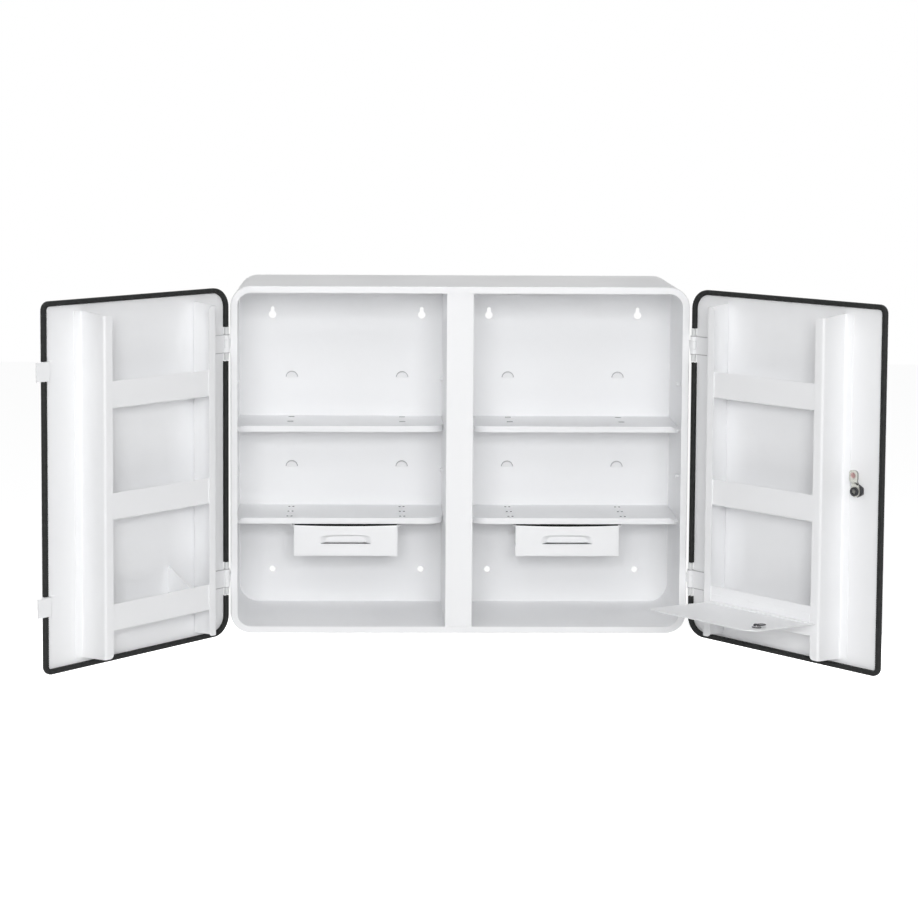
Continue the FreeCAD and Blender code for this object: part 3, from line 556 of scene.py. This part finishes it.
def edging_tree():
    labels = ("Width", "Height", "Rib Pitch", "Rib Depth", "Outer Round", "Inner Round")
    tree, given, end = start_group(
        "ribbed_edging",
        [("Geometry", "geometry"), *((label, "value") for label in labels),
         ("Material", "material")],
        [("Geometry", "geometry")], kind="GeometryNodeTree")

    path = add_node(tree, "GeometryNodeMeshToCurve", {"Mesh": given["Geometry"]})
    quarter = maths(tree, "DIVIDE", given["Rib Pitch"], 4.0)
    rings = add_node(
        tree, "GeometryNodeResampleCurve", {"Curve": path.outputs["Curve"], "Length": quarter},
        mode="LENGTH")
    upright = add_node(
        tree, "GeometryNodeSetCurveNormal", {"Curve": rings.outputs["Curve"]}, mode="Z_UP")
    number = add_node(tree, "GeometryNodeInputIndex").outputs[0]
    wave = maths(tree, "COSINE", maths(tree, "MULTIPLY", number, math.pi / 2))
    dip = maths(tree, "MULTIPLY", maths(tree, "SUBTRACT", wave, 1.0), given["Rib Depth"])
    half = maths(tree, "DIVIDE", given["Width"], 2.0)
    swell = maths(tree, "ADD", maths(tree, "DIVIDE", dip, half), 1.0)

    section = add_node(
        tree, "GeometryNodeCurvePrimitiveQuadrilateral",
        {"Width": given["Width"], "Height": given["Height"]})
    corner = add_node(tree, "GeometryNodeInputPosition").outputs[0]
    parts = add_node(tree, "ShaderNodeSeparateXYZ", {0: corner})
    is_outer = maths(tree, "LESS_THAN", parts.outputs["Y"], 0.0)
    rounding = add_node(
        tree, "GeometryNodeSwitch",
        {"Switch": is_outer, "False": given["Inner Round"], "True": given["Outer Round"]},
        input_type="FLOAT")
    soften = add_node(
        tree, "GeometryNodeFilletCurve",
        {"Count": 4, "Curve": section.outputs["Curve"], "Radius": rounding.outputs[0]},
        mode="POLY")
    rise = maths(tree, "DIVIDE", given["Height"], -2.0)
    move = add_node(tree, "ShaderNodeCombineXYZ", {"Y": rise})
    lift = add_node(
        tree, "GeometryNodeTransform",
        {"Geometry": soften.outputs["Curve"], "Translation": move.outputs[0]})

    sweep = add_node(
        tree, "GeometryNodeCurveToMesh",
        {"Curve": upright.outputs["Curve"], "Profile Curve": lift.outputs["Geometry"],
         "Scale": swell, "Fill Caps": True})
    finish_tree(tree, given, end, sweep.outputs["Mesh"])
    return tree


ribbed_edging = edging_tree()
print("tree", ribbed_edging.name, "nodes", len(ribbed_edging.nodes))

# %% [markdown]
# A tree is only a recipe. It is run once for each door, and its result becomes a plain mesh,
# moved into place. The modifier is taken away again, so that what remains is plain geometry.

# %% Run a tree and keep the mesh
crease_angle = 40


def run_tree(name, mesh, tree, values):
    """A plain mesh object made by a Geometry Nodes tree from a starting mesh."""
    holder = bpy.data.objects.new(name + "_source", mesh)
    scene.collection.objects.link(holder)
    modifier = holder.modifiers.new("tree", "NODES")
    modifier.node_group = tree
    names = {item.name: item.identifier for item in tree.interface.items_tree
             if item.in_out == "INPUT"}
    for label, value in values.items():
        modifier[names[label]] = value
    graph = bpy.context.evaluated_depsgraph_get()
    made = bpy.data.meshes.new_from_object(holder.evaluated_get(graph), depsgraph=graph)
    holder.modifiers.remove(modifier)
    bpy.data.objects.remove(holder)
    made.name = name
    piece = bpy.data.objects.new(name, made)
    scene.collection.objects.link(piece)
    return piece


def outward(mesh):
    """Turn all faces so that their normals point out."""
    shape = bmesh.new()
    shape.from_mesh(mesh)
    bmesh.ops.recalc_face_normals(shape, faces=shape.faces)
    shape.to_mesh(mesh)
    shape.free()


def smooth_by_angle(mesh, degrees=crease_angle):
    """Smooth shading with sharp edges where two faces meet at more than an angle."""
    mesh.shade_smooth()
    shape = bmesh.new()
    shape.from_mesh(mesh)
    for edge in shape.edges:
        if len(edge.link_faces) == 2:
            edge.smooth = edge.calc_face_angle(0.0) < math.radians(degrees)
    shape.to_mesh(mesh)
    shape.free()


# %% The edging of both doors
for side, word in door_sides:
    name = word + "_door_ribbed_edging"
    edging = run_tree(name, path_mesh(name + "_path", side), ribbed_edging, {
        "Width": edging_width, "Height": edging_height, "Rib Pitch": 2.2 * mm,
        "Rib Depth": 0.11 * mm, "Outer Round": 1.4 * mm, "Inner Round": 0.4 * mm,
        "Material": edging_rubber,
    })
    edging.data.transform(door_place[side])
    outward(edging.data)
    smooth_by_angle(edging.data)
    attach(edging, word + "_door")
    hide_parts(word + "_door_seal")
    print(name, "faces", len(edging.data.polygons))

# %% [markdown]
# ## Small turned parts
# Nuts, collars, caps and studs are all turned on a lathe, so one function makes them: it takes
# the outline as radius and height in millimetres, and spins it around the z axis. A hexagon is
# only a limit on the radius that depends on the angle. Where the outline also drops at its rim,
# the corners of the hexagon get the curved chamfer of a real nut.

# %% A lathe


def turned(outline, hexagon=None, steps=48, start=0.0):
    """A mesh spun from (radius, height) pairs. The outline closes on itself or on the axis."""
    mesh = bpy.data.meshes.new("turned")
    rings, vertices, faces = [], [], []
    for radius, height in outline:
        if radius == 0:
            rings.append([len(vertices)] * steps)
            vertices.append((0.0, 0.0, height * mm))
            continue
        ring = []
        for step in range(steps):
            angle = 2 * math.pi * step / steps + start
            reach = radius
            if hexagon:
                turn = (angle - start) % (math.pi / 3) - math.pi / 6
                reach = min(radius, hexagon / math.cos(turn))
            ring.append(len(vertices))
            vertices.append(
                (reach * mm * math.cos(angle), reach * mm * math.sin(angle), height * mm))
        rings.append(ring)
    closing = [rings[0]] if outline[0][0] > 0 else []
    for low, high in zip(rings, rings[1:] + closing):
        for step in range(steps):
            after = (step + 1) % steps
            corners = (low[step], low[after], high[after], high[step])
            faces.append(tuple(dict.fromkeys(corners)))
    mesh.from_pydata(vertices, [], [f for f in faces if len(f) > 2])
    return mesh


bevel_angle = 50
bevel_segments = 2


def hand_over(name, mesh, place, finish_used, body, replaced=(), sheet=0.0, edge=0.0,
              rim_shade_finish=None):
    """A sheet is open."""
    mesh.name = name
    mesh.transform(place)
    if not sheet:
        outward(mesh)
    smooth_by_angle(mesh)
    mesh.materials.append(finish_used)
    piece = bpy.data.objects.new(name, mesh)
    scene.collection.objects.link(piece)
    if sheet:
        thick = piece.modifiers.new("thickness", "SOLIDIFY")
        thick.thickness = sheet
        thick.offset = -1.0
        # The rim finish paints shade on the sheet's cut edge, as a second material on the Solidify rim.
        if rim_shade_finish:
            mesh.materials.append(rim_shade_finish)
            thick.material_offset_rim = 1
    if edge:
        soft_edge = piece.modifiers.new("soft_edge", "BEVEL")
        soft_edge.width = edge
        soft_edge.segments = bevel_segments
        soft_edge.limit_method = "ANGLE"
        soft_edge.angle_limit = math.radians(bevel_angle)
    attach(piece, body)
    if replaced:
        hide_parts(*replaced)
    print(name, "faces", len(mesh.polygons), "size", [round(v, 4) for v in piece.dimensions])
    return piece


# %% [markdown]
# ## The door's cam lock
# Behind the door the lock shows its hexagon nut, the cranked cam and the ring nut that holds the
# cam on its square. The joint gives the place and the direction of the lock's axis.

# %% The lock's own coordinates


def joint_place(name, along):
    """A matrix whose z axis is the joint's axis and whose x axis is near to along."""
    joint = joint_of[name]
    out = Vector(joint["axis"]).normalized()
    across = (along - along.dot(out) * out).normalized()
    rows = Matrix((across, out.cross(across), out)).transposed().to_4x4()
    return Matrix.Translation(Vector(joint["pos_m"])) @ rows


right_along = door_place[1].to_3x3() @ Vector((1, 0, 0))
lock_place = joint_place("door_lock_turn", right_along)
print("lock axis", [round(v, 3) for v in lock_place.col[2][:3]])

# %% [markdown]
# The nut's flats face the hinge and the free edge, so its corners point up and down.

# %% The lock's hexagon nut
nut_bore = 5.9
nut_outline = [
    (nut_bore, 0.05), (7.6, 0.05), (8.0, 0.4), (8.0, 4.2), (7.0, 4.95), (nut_bore + 0.4, 4.95),
    (nut_bore, 4.6),
]
nut = turned(nut_outline, hexagon=6.93, start=math.radians(-30))
hand_over("lock_hex_nut", nut, lock_place, black_oxide_and_dark_reflection, "right_door", ["lock_nut"])

# %% [markdown]
# The cam is one strip of steel. Seen along its length it has a round foot, a waist and a broad
# rounded tip, and it is cranked up by its own crank height. A flat grid takes all of that: the
# width follows one function of the distance from the pivot, the height another. A shallow oval
# is pressed into the tip, and Solidify gives the sheet its thickness.

# %% The cranked cam
cam_foot = -7.0 * mm
cam_tip = 27.0 * mm
cam_back = 7.35 * mm
cam_sheet = 1.9 * mm
cam_crank = 3.8 * mm
crank_range = (9.0 * mm, 13.0 * mm)
foot_width_share = 0.94
body_half = 6.6 * mm
waist_loss = 1.6 * mm
waist_range = (1 * mm, 9 * mm)
broad_gain = 1.3 * mm
broad_range = (10 * mm, 17 * mm)
tip_length = 5 * mm
tip_power = 2.6
narrowest = 0.3 * mm
oval_middle = (-0.3 * mm, 20 * mm)
oval_halves = (3.1 * mm, 4.6 * mm)
oval_depth = 0.7 * mm
oval_fade = (0.55, 1.0)
cam_rows = 69
cam_columns = 25


def smooth_step(value, low, high):
    """0 below low, 1 above high, and an S curve between."""
    part = min(1.0, max(0.0, (value - low) / (high - low)))
    return part * part * (3 - 2 * part)


def cam_half_width(reach):
    """Half of the cam's width at a distance from the pivot."""
    if reach < 0:
        return math.sqrt(max(0.0, cam_foot ** 2 - reach ** 2)) * foot_width_share
    waist = waist_loss * smooth_step(reach, *waist_range)
    body = body_half - waist + broad_gain * smooth_step(reach, *broad_range)
    past = max(0.0, 1 - (cam_tip - reach) / tip_length)
    return body * max(0.0, 1 - past ** tip_power) ** (1 / tip_power)


vertices, faces = [], []
for row in range(cam_rows):
    share = row / (cam_rows - 1)
    reach = cam_foot + (cam_tip - cam_foot) * (share - math.sin(2 * math.pi * share) / 12)
    rise = cam_crank * smooth_step(reach, *crank_range)
    half = max(cam_half_width(reach), narrowest)
    for column in range(cam_columns):
        across = half * (2 * column / (cam_columns - 1) - 1)
        offsets = (across - oval_middle[0], reach - oval_middle[1])
        oval = math.hypot(*(offset / half_axis for offset, half_axis in zip(offsets, oval_halves)))
        dimple = oval_depth * (1 - smooth_step(oval, *oval_fade))
        vertices.append((across, reach, cam_back + cam_sheet + rise - dimple))
for row in range(cam_rows - 1):
    for column in range(cam_columns - 1):
        first = row * cam_columns + column
        above = first + cam_columns
        faces.append((first, first + 1, above + 1, above))
cam_mesh = bpy.data.meshes.new("lock_cranked_cam")
cam_mesh.from_pydata(vertices, [], faces)
print("cam vertices", len(vertices))

# %% [markdown]
# A black spot beside the crank is painted shade standing in for a punched hole, and the pressed oval is tinted
# reddish.
# Both are round spots in space, so a small group measures the distance to a point.

# %% A round spot as a mask


def spot_mask_group():
    group, given, end = start_group(
        "spot_mask",
        [("Vector", "vector"), ("Centre", "vector"), ("Radius", "value", 1.0 * mm),
         ("Edge", "value", 0.3 * mm)],
        [("Mask", "value")])
    gap = add_node(
        group, "ShaderNodeVectorMath", {0: given["Vector"], 1: given["Centre"]},
        operation="DISTANCE")
    inner = maths(group, "SUBTRACT", given["Radius"], given["Edge"])
    fade = add_node(
        group, "ShaderNodeMapRange",
        {"Value": gap.outputs["Value"], "From Min": inner, "From Max": given["Radius"],
         "To Min": 1.0, "To Max": 0.0},
        interpolation_type="SMOOTHSTEP")
    feed_end(group, end, Mask=fade.outputs["Result"])
    return group


spot_mask = spot_mask_group()
print("group", spot_mask.name, "nodes", len(spot_mask.nodes))


def mark(material, group, values, colour):
    """Mix a colour into a finish where a mask group gives 1."""
    tree = material.node_tree
    shader = next(n for n in tree.nodes if n.type == "BSDF_PRINCIPLED")
    place = next(n for n in tree.nodes if n.type == "TEX_COORD")
    before = shader.inputs["Base Color"].links[0].from_socket
    mask = add_node(
        tree, "ShaderNodeGroup", {"Vector": place.outputs["Object"], **values}, node_tree=group)
    mix = add_node(
        tree, "ShaderNodeMix", {"Factor": mask.outputs["Mask"], "A": before, "B": colour},
        data_type="RGBA")
    tree.links.new(mix.outputs["Result"], shader.inputs["Base Color"])


# %% The cam, marked and handed over
marked_steel = marked_finish(
    "marked_cam_steel", (0.66, 0.66, 0.61), (0.55, 0.55, 0.51), 1100.0, 0.4, (0.25, 0.4),
    bump=(0.1, 0.02 * mm), fixed={"Metallic": 0.85})
# Dark steel for the plug's square end. On the cam's rim the same finish is painted shade on the sheet's edge.
cut_steel_and_rim_shade = marked_finish(
    "cut_steel_and_rim_shade", (0.20, 0.20, 0.19), (0.30, 0.30, 0.28), 1500.0, 0.5, (0.35, 0.5),
    bump=(0.1, 0.02 * mm), fixed={"Metallic": 0.5})
oval_reddish = (0.42, 0.27, 0.26, 1.0)
# Painted shade: a black spot on solid steel where a punched hole would look dark.
painted_hole_shade = (0.02, 0.02, 0.02, 1.0)
cam_top = cam_back + cam_sheet
oval_tint_centre = lock_place @ Vector((-0.3 * mm, 20.5 * mm, cam_top + cam_crank))
painted_hole_centre = lock_place @ Vector((3.4 * mm, 9.2 * mm, cam_top + 0.4 * mm))
mark(marked_steel, spot_mask, {"Centre": oval_tint_centre, "Radius": 4.9 * mm, "Edge": 2.4 * mm},
     oval_reddish)
mark(marked_steel, spot_mask, {"Centre": painted_hole_centre, "Radius": 1.5 * mm, "Edge": 0.4 * mm},
     painted_hole_shade)
hand_over("lock_cranked_cam", cam_mesh, lock_place, marked_steel, "door_lock",
          ["lock_cam"], sheet=cam_sheet, edge=0.25 * mm, rim_shade_finish=cut_steel_and_rim_shade)

# %% [markdown]
# A black ring nut holds the cam, and the end of the plug's square stands in its middle.

# %% The ring nut and the square
ring_low = cam_top / mm + 0.05
ring_high = ring_low + 2.9
ring_bore = 3.4
ring_outline = [
    (ring_bore, ring_low), (5.7, ring_low), (5.7, ring_high - 0.7), (5.45, ring_high - 0.2),
    (4.9, ring_high), (ring_bore + 0.4, ring_high), (ring_bore, ring_high - 0.4),
]
hand_over("lock_ring_nut", turned(ring_outline), lock_place, black_oxide_and_dark_reflection, "door_lock",
          ["lock_cam_screw"])
square_outline = [
    (0, ring_low), (2.9, ring_low), (2.9, ring_high - 0.8), (2.3, ring_high - 0.3),
    (0, ring_high - 0.3),
]
square = turned(square_outline, steps=4, start=math.radians(20))
hand_over("lock_square_end", square, lock_place, cut_steel_and_rim_shade, "door_lock")

# %% [markdown]
# ## The flap's lock
# The flap's lock is a smaller cam lock. From inside one sees a flat black ring nut on the
# sheet, the threaded bright barrel, the black cam and a black cap screw. The z axis of its joint
# points out of the flap's outer face, so what is inside has a negative height.

# %% Collar, ring nut and cap of the flap's lock
flap_lock_place = joint_place("flap_lock_turn", right_along)
thread_turns = 5
thread_pitch = 0.36
thread = []
for turn in range(thread_turns):
    height = -2.6 + thread_pitch * turn
    thread += [(4.75, height), (4.5, height + thread_pitch / 2)]
collar_bore = 3.3
collar_outline = [
    (collar_bore, -2.78), (4.5, -2.78), *thread, (5.3, -0.7), (5.3, 0.45), (7.2, 0.45),
    (7.5, 0.75), (7.5, 1.4), (7.0, 1.95), (collar_bore + 0.4, 1.95), (collar_bore, 1.6),
]
hand_over("flap_lock_collar", turned(collar_outline), flap_lock_place, lock_chrome, "flap",
          ["flap_lock_housing"])
# The black of this ring nut also stands in for a dark reflection at the base of the lock, as painted reflection.
inner_ring_outline = [
    (4.8, -0.72), (4.8, -1.5), (5.1, -1.75), (5.5, -1.75), (5.8, -1.45), (5.8, -0.72),
]
hand_over("flap_lock_ring_nut", turned(inner_ring_outline), flap_lock_place, black_oxide_and_dark_reflection, "flap")
cap_outline = [
    (0, -4.33), (3.4, -4.33), (3.4, -4.75), (3.1, -5.05), (2.2, -5.25), (0, -5.3),
]
hand_over("flap_lock_cap", turned(cap_outline), flap_lock_place, black_oxide_and_dark_reflection, "flap_lock",
          ["flap_lock_screw"])

# %% [markdown]
# ## Drawer fronts
# Each small drawer is opened by a pull pressed into its front: the sheet is cut along a line,
# the part above the cut is pressed in and the edge below it is turned out a little, so a finger
# hooks over it. The grid below has its vertices twice along the cut, once for each of the two
# edges. Outside the pull the two sets fall together and are merged.

# %% The pressed pull as a depth
front_centre = 151 * mm
front_half = 70.5 * mm
front_high = -102.5 * mm
front_dip = 1.5 * mm
front_face = -103.7 * mm
front_sheet = 1.0 * mm
cut_height = -128 * mm
pull_half = 36 * mm
pull_rise = 12.5 * mm
pull_depth = 5 * mm
pull_power = 5
pull_fade = (0.72, 1.0)
cut_gap = 2.3 * mm
lip_turn = 0.6 * mm
lip_reach = 1.8 * mm


def pressed(x, z):
    """How far the pull is pressed in: 1 on its floor and 0 outside it."""
    across = abs(x) / pull_half
    above = max(0.0, (z - cut_height) / pull_rise)
    outline = (across ** pull_power + above ** pull_power) ** (1 / pull_power)
    return 1 - smooth_step(outline, *pull_fade)


# %% A drawer front as one cut sheet
grid_x = [-70.5, -64, -57, -50, -44, *range(-40, 41), 44, 50, 57, 64, 70.5]
grid_below = [-144.5, -140, -136, -132.5, -130.6, -129.8, -129.2, -128.7, -128.3, -128]
grid_above = [-128 + 0.5 * step for step in range(27)] + [-113, -110, -106.5, -103]


def front_mesh(name, centre):
    """The outer face of a drawer front around an x centre, as an open grid with a cut."""
    shape = bmesh.new()

    def row(height, is_lip):
        made = []
        for x in (value * mm for value in grid_x):
            depth = pull_depth * pressed(x, height)
            z = height
            if is_lip:
                near = 1 - smooth_step(cut_height - height, 0.0, lip_reach)
                depth = -lip_turn * pressed(x, cut_height) * near
            elif height == cut_height:
                z += cut_gap * pressed(x, height)
            if z == grid_above[-1] * mm:
                z = front_high - front_dip * (1 - (x / front_half) ** 2)
            made.append(shape.verts.new((centre + x, front_face + depth, z)))
        return made

    for heights, is_lip in ((grid_below, True), (grid_above, False)):
        grid = [row(height * mm, is_lip) for height in heights]
        for low, high in zip(grid, grid[1:]):
            for i in range(len(grid_x) - 1):
                shape.faces.new((low[i], low[i + 1], high[i + 1], high[i]))
    bmesh.ops.remove_doubles(shape, verts=shape.verts, dist=0.01 * mm)
    mesh = bpy.data.meshes.new(name)
    shape.to_mesh(mesh)
    shape.free()
    return mesh


for side, word in door_sides:
    name = word + "_drawer_pressed_front"
    hand_over(name, front_mesh(name, front_centre * side), Matrix(), white_enamel,
              word + "_drawer", [word + "_drawer_front"],
              sheet=front_sheet, edge=0.2 * mm)

# %% [markdown]
# A black strip behind the upper edge darkens the gap to the shelf, and another darkens the pull's slit from
# behind.
# Both are painted shade, black sheets where the real gaps only hold shadow, with a rounded upper edge.

# %% Black strips of painted shade behind the fronts
# Painted shade: black sheets put where the gap and the slit only hold shadow.
shade_strip_black = marked_finish(
    "shade_strip_black", (0.012, 0.012, 0.013), (0.03, 0.03, 0.03), 1500.0, 0.6, (0.8, 0.95),
    bump=(0.3, 0.1 * mm), fixed={"Specular IOR Level": 0.1})
shade_strip_thick = 0.9 * mm
shade_strip_round = 0.45 * shade_strip_thick
shade_strip_shoulder = 0.3 * shade_strip_round
shade_strip_uneven = 0.08 * mm
shade_strip_wave = 1.7
shade_strip_steps = 40
strip_sizes = {
    "gap": (69.5 * mm, -102.65 * mm, -112 * mm, -101.15 * mm),
    "pull": (35 * mm, -97.6 * mm, -133 * mm, -121 * mm),
}


def shade_strip(name, centre, half, front, low, high):
    """A strip along x with a rounded upper edge and slightly uneven height."""
    back = front + shade_strip_thick
    vertices, faces = [], []
    for step in range(shade_strip_steps + 1):
        x = centre + half * (2 * step / shade_strip_steps - 1)
        top = high - shade_strip_uneven * (1 + math.sin(step * shade_strip_wave))
        outline = [
            (front, low), (back, low), (back, top - shade_strip_round),
            (back - shade_strip_shoulder, top - shade_strip_shoulder), ((front + back) / 2, top),
            (front + shade_strip_shoulder, top - shade_strip_shoulder), (front, top - shade_strip_round),
        ]
        vertices += [(x, y, z) for y, z in outline]
    count = len(outline)
    for first in range(0, shade_strip_steps * count, count):
        for i in range(count):
            j = (i + 1) % count
            faces.append((first + i, first + j, first + count + j, first + count + i))
    faces.append(tuple(range(count)))
    faces.append(tuple(shade_strip_steps * count + i for i in range(count)))
    mesh = bpy.data.meshes.new(name)
    mesh.from_pydata(vertices, [], faces)
    return mesh


for side, word in door_sides:
    for part, sizes in strip_sizes.items():
        name = word + "_drawer_" + part + "_strip"
        hand_over(name, shade_strip(name, front_centre * side, *sizes), Matrix(), shade_strip_black,
                  word + "_drawer")

# %% [markdown]
# ## Shelf studs
# Sixteen small studs carry the shelves. The CAD node gives their places; each becomes a point
# with a direction, and a tree puts the same turned stud on every point.

# %% The studs' places
same_point = 0.001 * mm


def solid_boxes(node):
    """The low and high corner of every separate solid in a CAD node, in a fixed order."""
    shape = bmesh.new()
    shape.from_mesh(node.data)
    bmesh.ops.remove_doubles(shape, verts=shape.verts, dist=same_point)
    left = set(shape.verts)
    boxes = []
    while left:
        waiting = [left.pop()]
        group = []
        while waiting:
            vertex = waiting.pop()
            group.append(vertex.co.copy())
            for edge in vertex.link_edges:
                other = edge.other_vert(vertex)
                if other in left:
                    left.discard(other)
                    waiting.append(other)
        low = Vector([min(point[axis] for point in group) for axis in range(3)])
        high = Vector([max(point[axis] for point in group) for axis in range(3)])
        boxes.append((low, high))
    shape.free()
    return sorted(boxes, key=lambda box: tuple(box[0]))


stud_points = bpy.data.meshes.new("stud_points")
places, directions = [], []
for low, high in solid_boxes(nodes["shelf_studs"]):
    middle = (low + high) / 2
    is_outer = abs(middle.x) > front_centre
    way = math.copysign(1, middle.x) * (-1 if is_outer else 1)
    root = low.x if way > 0 else high.x
    places.append((root, middle.y, middle.z))
    directions.append((way, 0.0, 0.0))
stud_points.from_pydata(places, [], [])
pointing = stud_points.attributes.new("direction", "FLOAT_VECTOR", "POINT")
pointing.data.foreach_set("vector", [value for row in directions for value in row])
print("studs", len(places))

# %% A tree that puts one part on every point


def points_tree():
    tree, given, end = start_group(
        "part_on_points",
        [("Geometry", "geometry"), ("Part", "object"), ("Size", "value"),
         ("Material", "material")],
        [("Geometry", "geometry")], kind="GeometryNodeTree")
    part = add_node(tree, "GeometryNodeObjectInfo", {"Object": given["Part"]})
    toward = add_node(
        tree, "GeometryNodeInputNamedAttribute", {"Name": "direction"}, data_type="FLOAT_VECTOR")
    turn = add_node(
        tree, "FunctionNodeAlignRotationToVector", {"Vector": toward.outputs["Attribute"]},
        axis="Z")
    put = add_node(
        tree, "GeometryNodeInstanceOnPoints",
        {"Points": given["Geometry"], "Instance": part.outputs["Geometry"],
         "Rotation": turn.outputs["Rotation"], "Scale": given["Size"]})
    finish_tree(tree, given, end, put.outputs["Instances"])
    return tree


# %% The studs
stud_outline = [
    (0, 0.02), (1.9, 0.02), (1.9, 2.9), (2.4, 3.1), (2.5, 3.3), (2.5, 4.2), (2.2, 4.65),
    (1.4, 4.9), (0, 4.98),
]
one_stud = turned(stud_outline, steps=24)
outward(one_stud)
stud_part = bpy.data.objects.new("one_stud", one_stud)
studs = run_tree("shelf_studs_turned", stud_points, points_tree(), {
    "Part": stud_part, "Size": 1.0, "Material": white_enamel,
})
bpy.data.objects.remove(stud_part)
smooth_by_angle(studs.data)
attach(studs, "cabinet")
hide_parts("shelf_studs")
print("studs", len(studs.data.polygons), "faces")

# %% [markdown]
# ## Painted shade at cuts in the sheet
# The narrow slots of the shelves and the sheared edge of the half-moon lugs in the back are painted
# dark as shade. Both repeat on a fixed grid, so each mask folds the coordinates onto one slot or
# one lug and paints the shade there. A third mask paints a grey line of shade along the upper and
# lower ends of the hinge leaves.

# %% Masks of painted shade on the cabinet's grid
slot_spread = 77 * mm
lug_first = -101.2 * mm
lug_pitch = 63 * mm
lug_reach = 9 * mm
arc_above = 0.2 * mm


def folded(group, vector):
    """The distance in x to the nearest column of slots or lugs, plus the y and z parts."""
    parts = add_node(group, "ShaderNodeSeparateXYZ", {0: vector}).outputs
    value = parts["X"]
    for shift in (0.0, front_centre, slot_spread):
        value = maths(group, "ABSOLUTE", maths(group, "SUBTRACT", value, shift))
    return value, parts["Y"], parts["Z"]


def slot_shade_mask_group():
    group, given, end = start_group(
        "slot_shade_mask",
        [("Vector", "vector"), ("Row", "value", -13.2 * mm), ("Half Length", "value", 4.12 * mm),
         ("Half Width", "value", 2.65 * mm)],
        [("Mask", "value")])
    x, y, z = folded(group, given["Vector"])
    in_length = maths(group, "LESS_THAN", x, given["Half Length"])
    from_row = maths(group, "ABSOLUTE", maths(group, "SUBTRACT", y, given["Row"]))
    in_width = maths(group, "LESS_THAN", from_row, given["Half Width"])
    feed_end(group, end, Mask=maths(group, "MULTIPLY", in_width, in_length))
    return group


def lug_shade_mask_group():
    group, given, end = start_group(
        "lug_mask",
        [("Vector", "vector"), ("Inner Radius", "value", 7.35 * mm),
         ("Outer Radius", "value", 8.6 * mm)],
        [("Mask", "value")])
    x, y, z = folded(group, given["Vector"])
    above_first = maths(group, "SUBTRACT", z, lug_first - lug_pitch / 2)
    height = maths(
        group, "SUBTRACT", maths(group, "FLOORED_MODULO", above_first, lug_pitch), lug_pitch / 2)
    square = maths(group, "ADD", maths(group, "MULTIPLY", x, x),
                   maths(group, "MULTIPLY", height, height))
    radius = maths(group, "SQRT", square)
    mask = maths(group, "GREATER_THAN", radius, given["Inner Radius"])
    for value, operation, limit in (
        (radius, "LESS_THAN", given["Outer Radius"]),
        (height, "GREATER_THAN", arc_above),
        (z, "GREATER_THAN", lug_first - lug_reach),
        (z, "LESS_THAN", lug_first + 3 * lug_pitch + lug_reach),
    ):
        mask = maths(group, "MULTIPLY", maths(group, operation, value, limit), mask)
    feed_end(group, end, Mask=mask)
    return group


def leaf_shade_mask_group():
    group, given, end = start_group(
        "leaf_mask",
        [("Vector", "vector"), ("Hinge Height", "value", 155.5 * mm),
         ("Half Leaf", "value", 11.3 * mm)],
        [("Mask", "value")])
    parts = add_node(group, "ShaderNodeSeparateXYZ", {0: given["Vector"]})
    level = maths(group, "ABSOLUTE", parts.outputs["Z"])
    from_hinge = maths(group, "ABSOLUTE", maths(group, "SUBTRACT", level, given["Hinge Height"]))
    feed_end(group, end, Mask=maths(group, "GREATER_THAN", from_hinge, given["Half Leaf"]))
    return group


# %% Shelves, back panel and hinge leaves with their painted shade
# Dark painted shade in the shelf slots.
painted_slot_shade = (0.10, 0.10, 0.10, 1.0)
# Grey painted shade along the lug arcs and the hinge leaves' ends.
painted_edge_shade = (0.5, 0.5, 0.51, 1.0)
shelf_rows = {"upper": (13.2, 58.2), "lower": (16.2, 52.7, 89.2)}
slot_shade_mask = slot_shade_mask_group()
for level, rows in shelf_rows.items():
    shelf_enamel = finish(level + "_shelf_enamel", powder_coat, enamel_values, enamel_bump)
    for row in rows:
        mark(shelf_enamel, slot_shade_mask, {"Row": -row * mm}, painted_slot_shade)
    for side, word in door_sides:
        nodes["shelf_" + level + "_" + word].data.materials[0] = shelf_enamel
back_enamel = finish("back_enamel", powder_coat, enamel_values, enamel_bump)
# The arc above each lug is painted shade.
mark(back_enamel, lug_shade_mask_group(), {}, painted_edge_shade)
nodes["back_panel"].data.materials[0] = back_enamel
leaf_enamel = finish("leaf_enamel", powder_coat, enamel_values, enamel_bump)
# Grey lines along the leaves' upper and lower ends are painted shade.
mark(leaf_enamel, leaf_shade_mask_group(), {}, painted_edge_shade)
for side, word in door_sides:
    nodes[word + "_door_hinge_leaves"].data.materials[0] = leaf_enamel
print("slot rows", shelf_rows)

# %% [markdown]
# The sleeves on the hinge pins are moulded in pale grey plastic and hardly shine.

# %% Hinge sleeves
sleeve_grey = marked_finish(
    "sleeve_grey", (0.76, 0.77, 0.77), (0.70, 0.71, 0.71), 1200.0, 0.4, (0.5, 0.6),
    bump=(0.1, 0.03 * mm))
nodes["hinge_pin_sleeves"].data.materials[0] = sleeve_grey
print("sleeves", sleeve_grey.name)
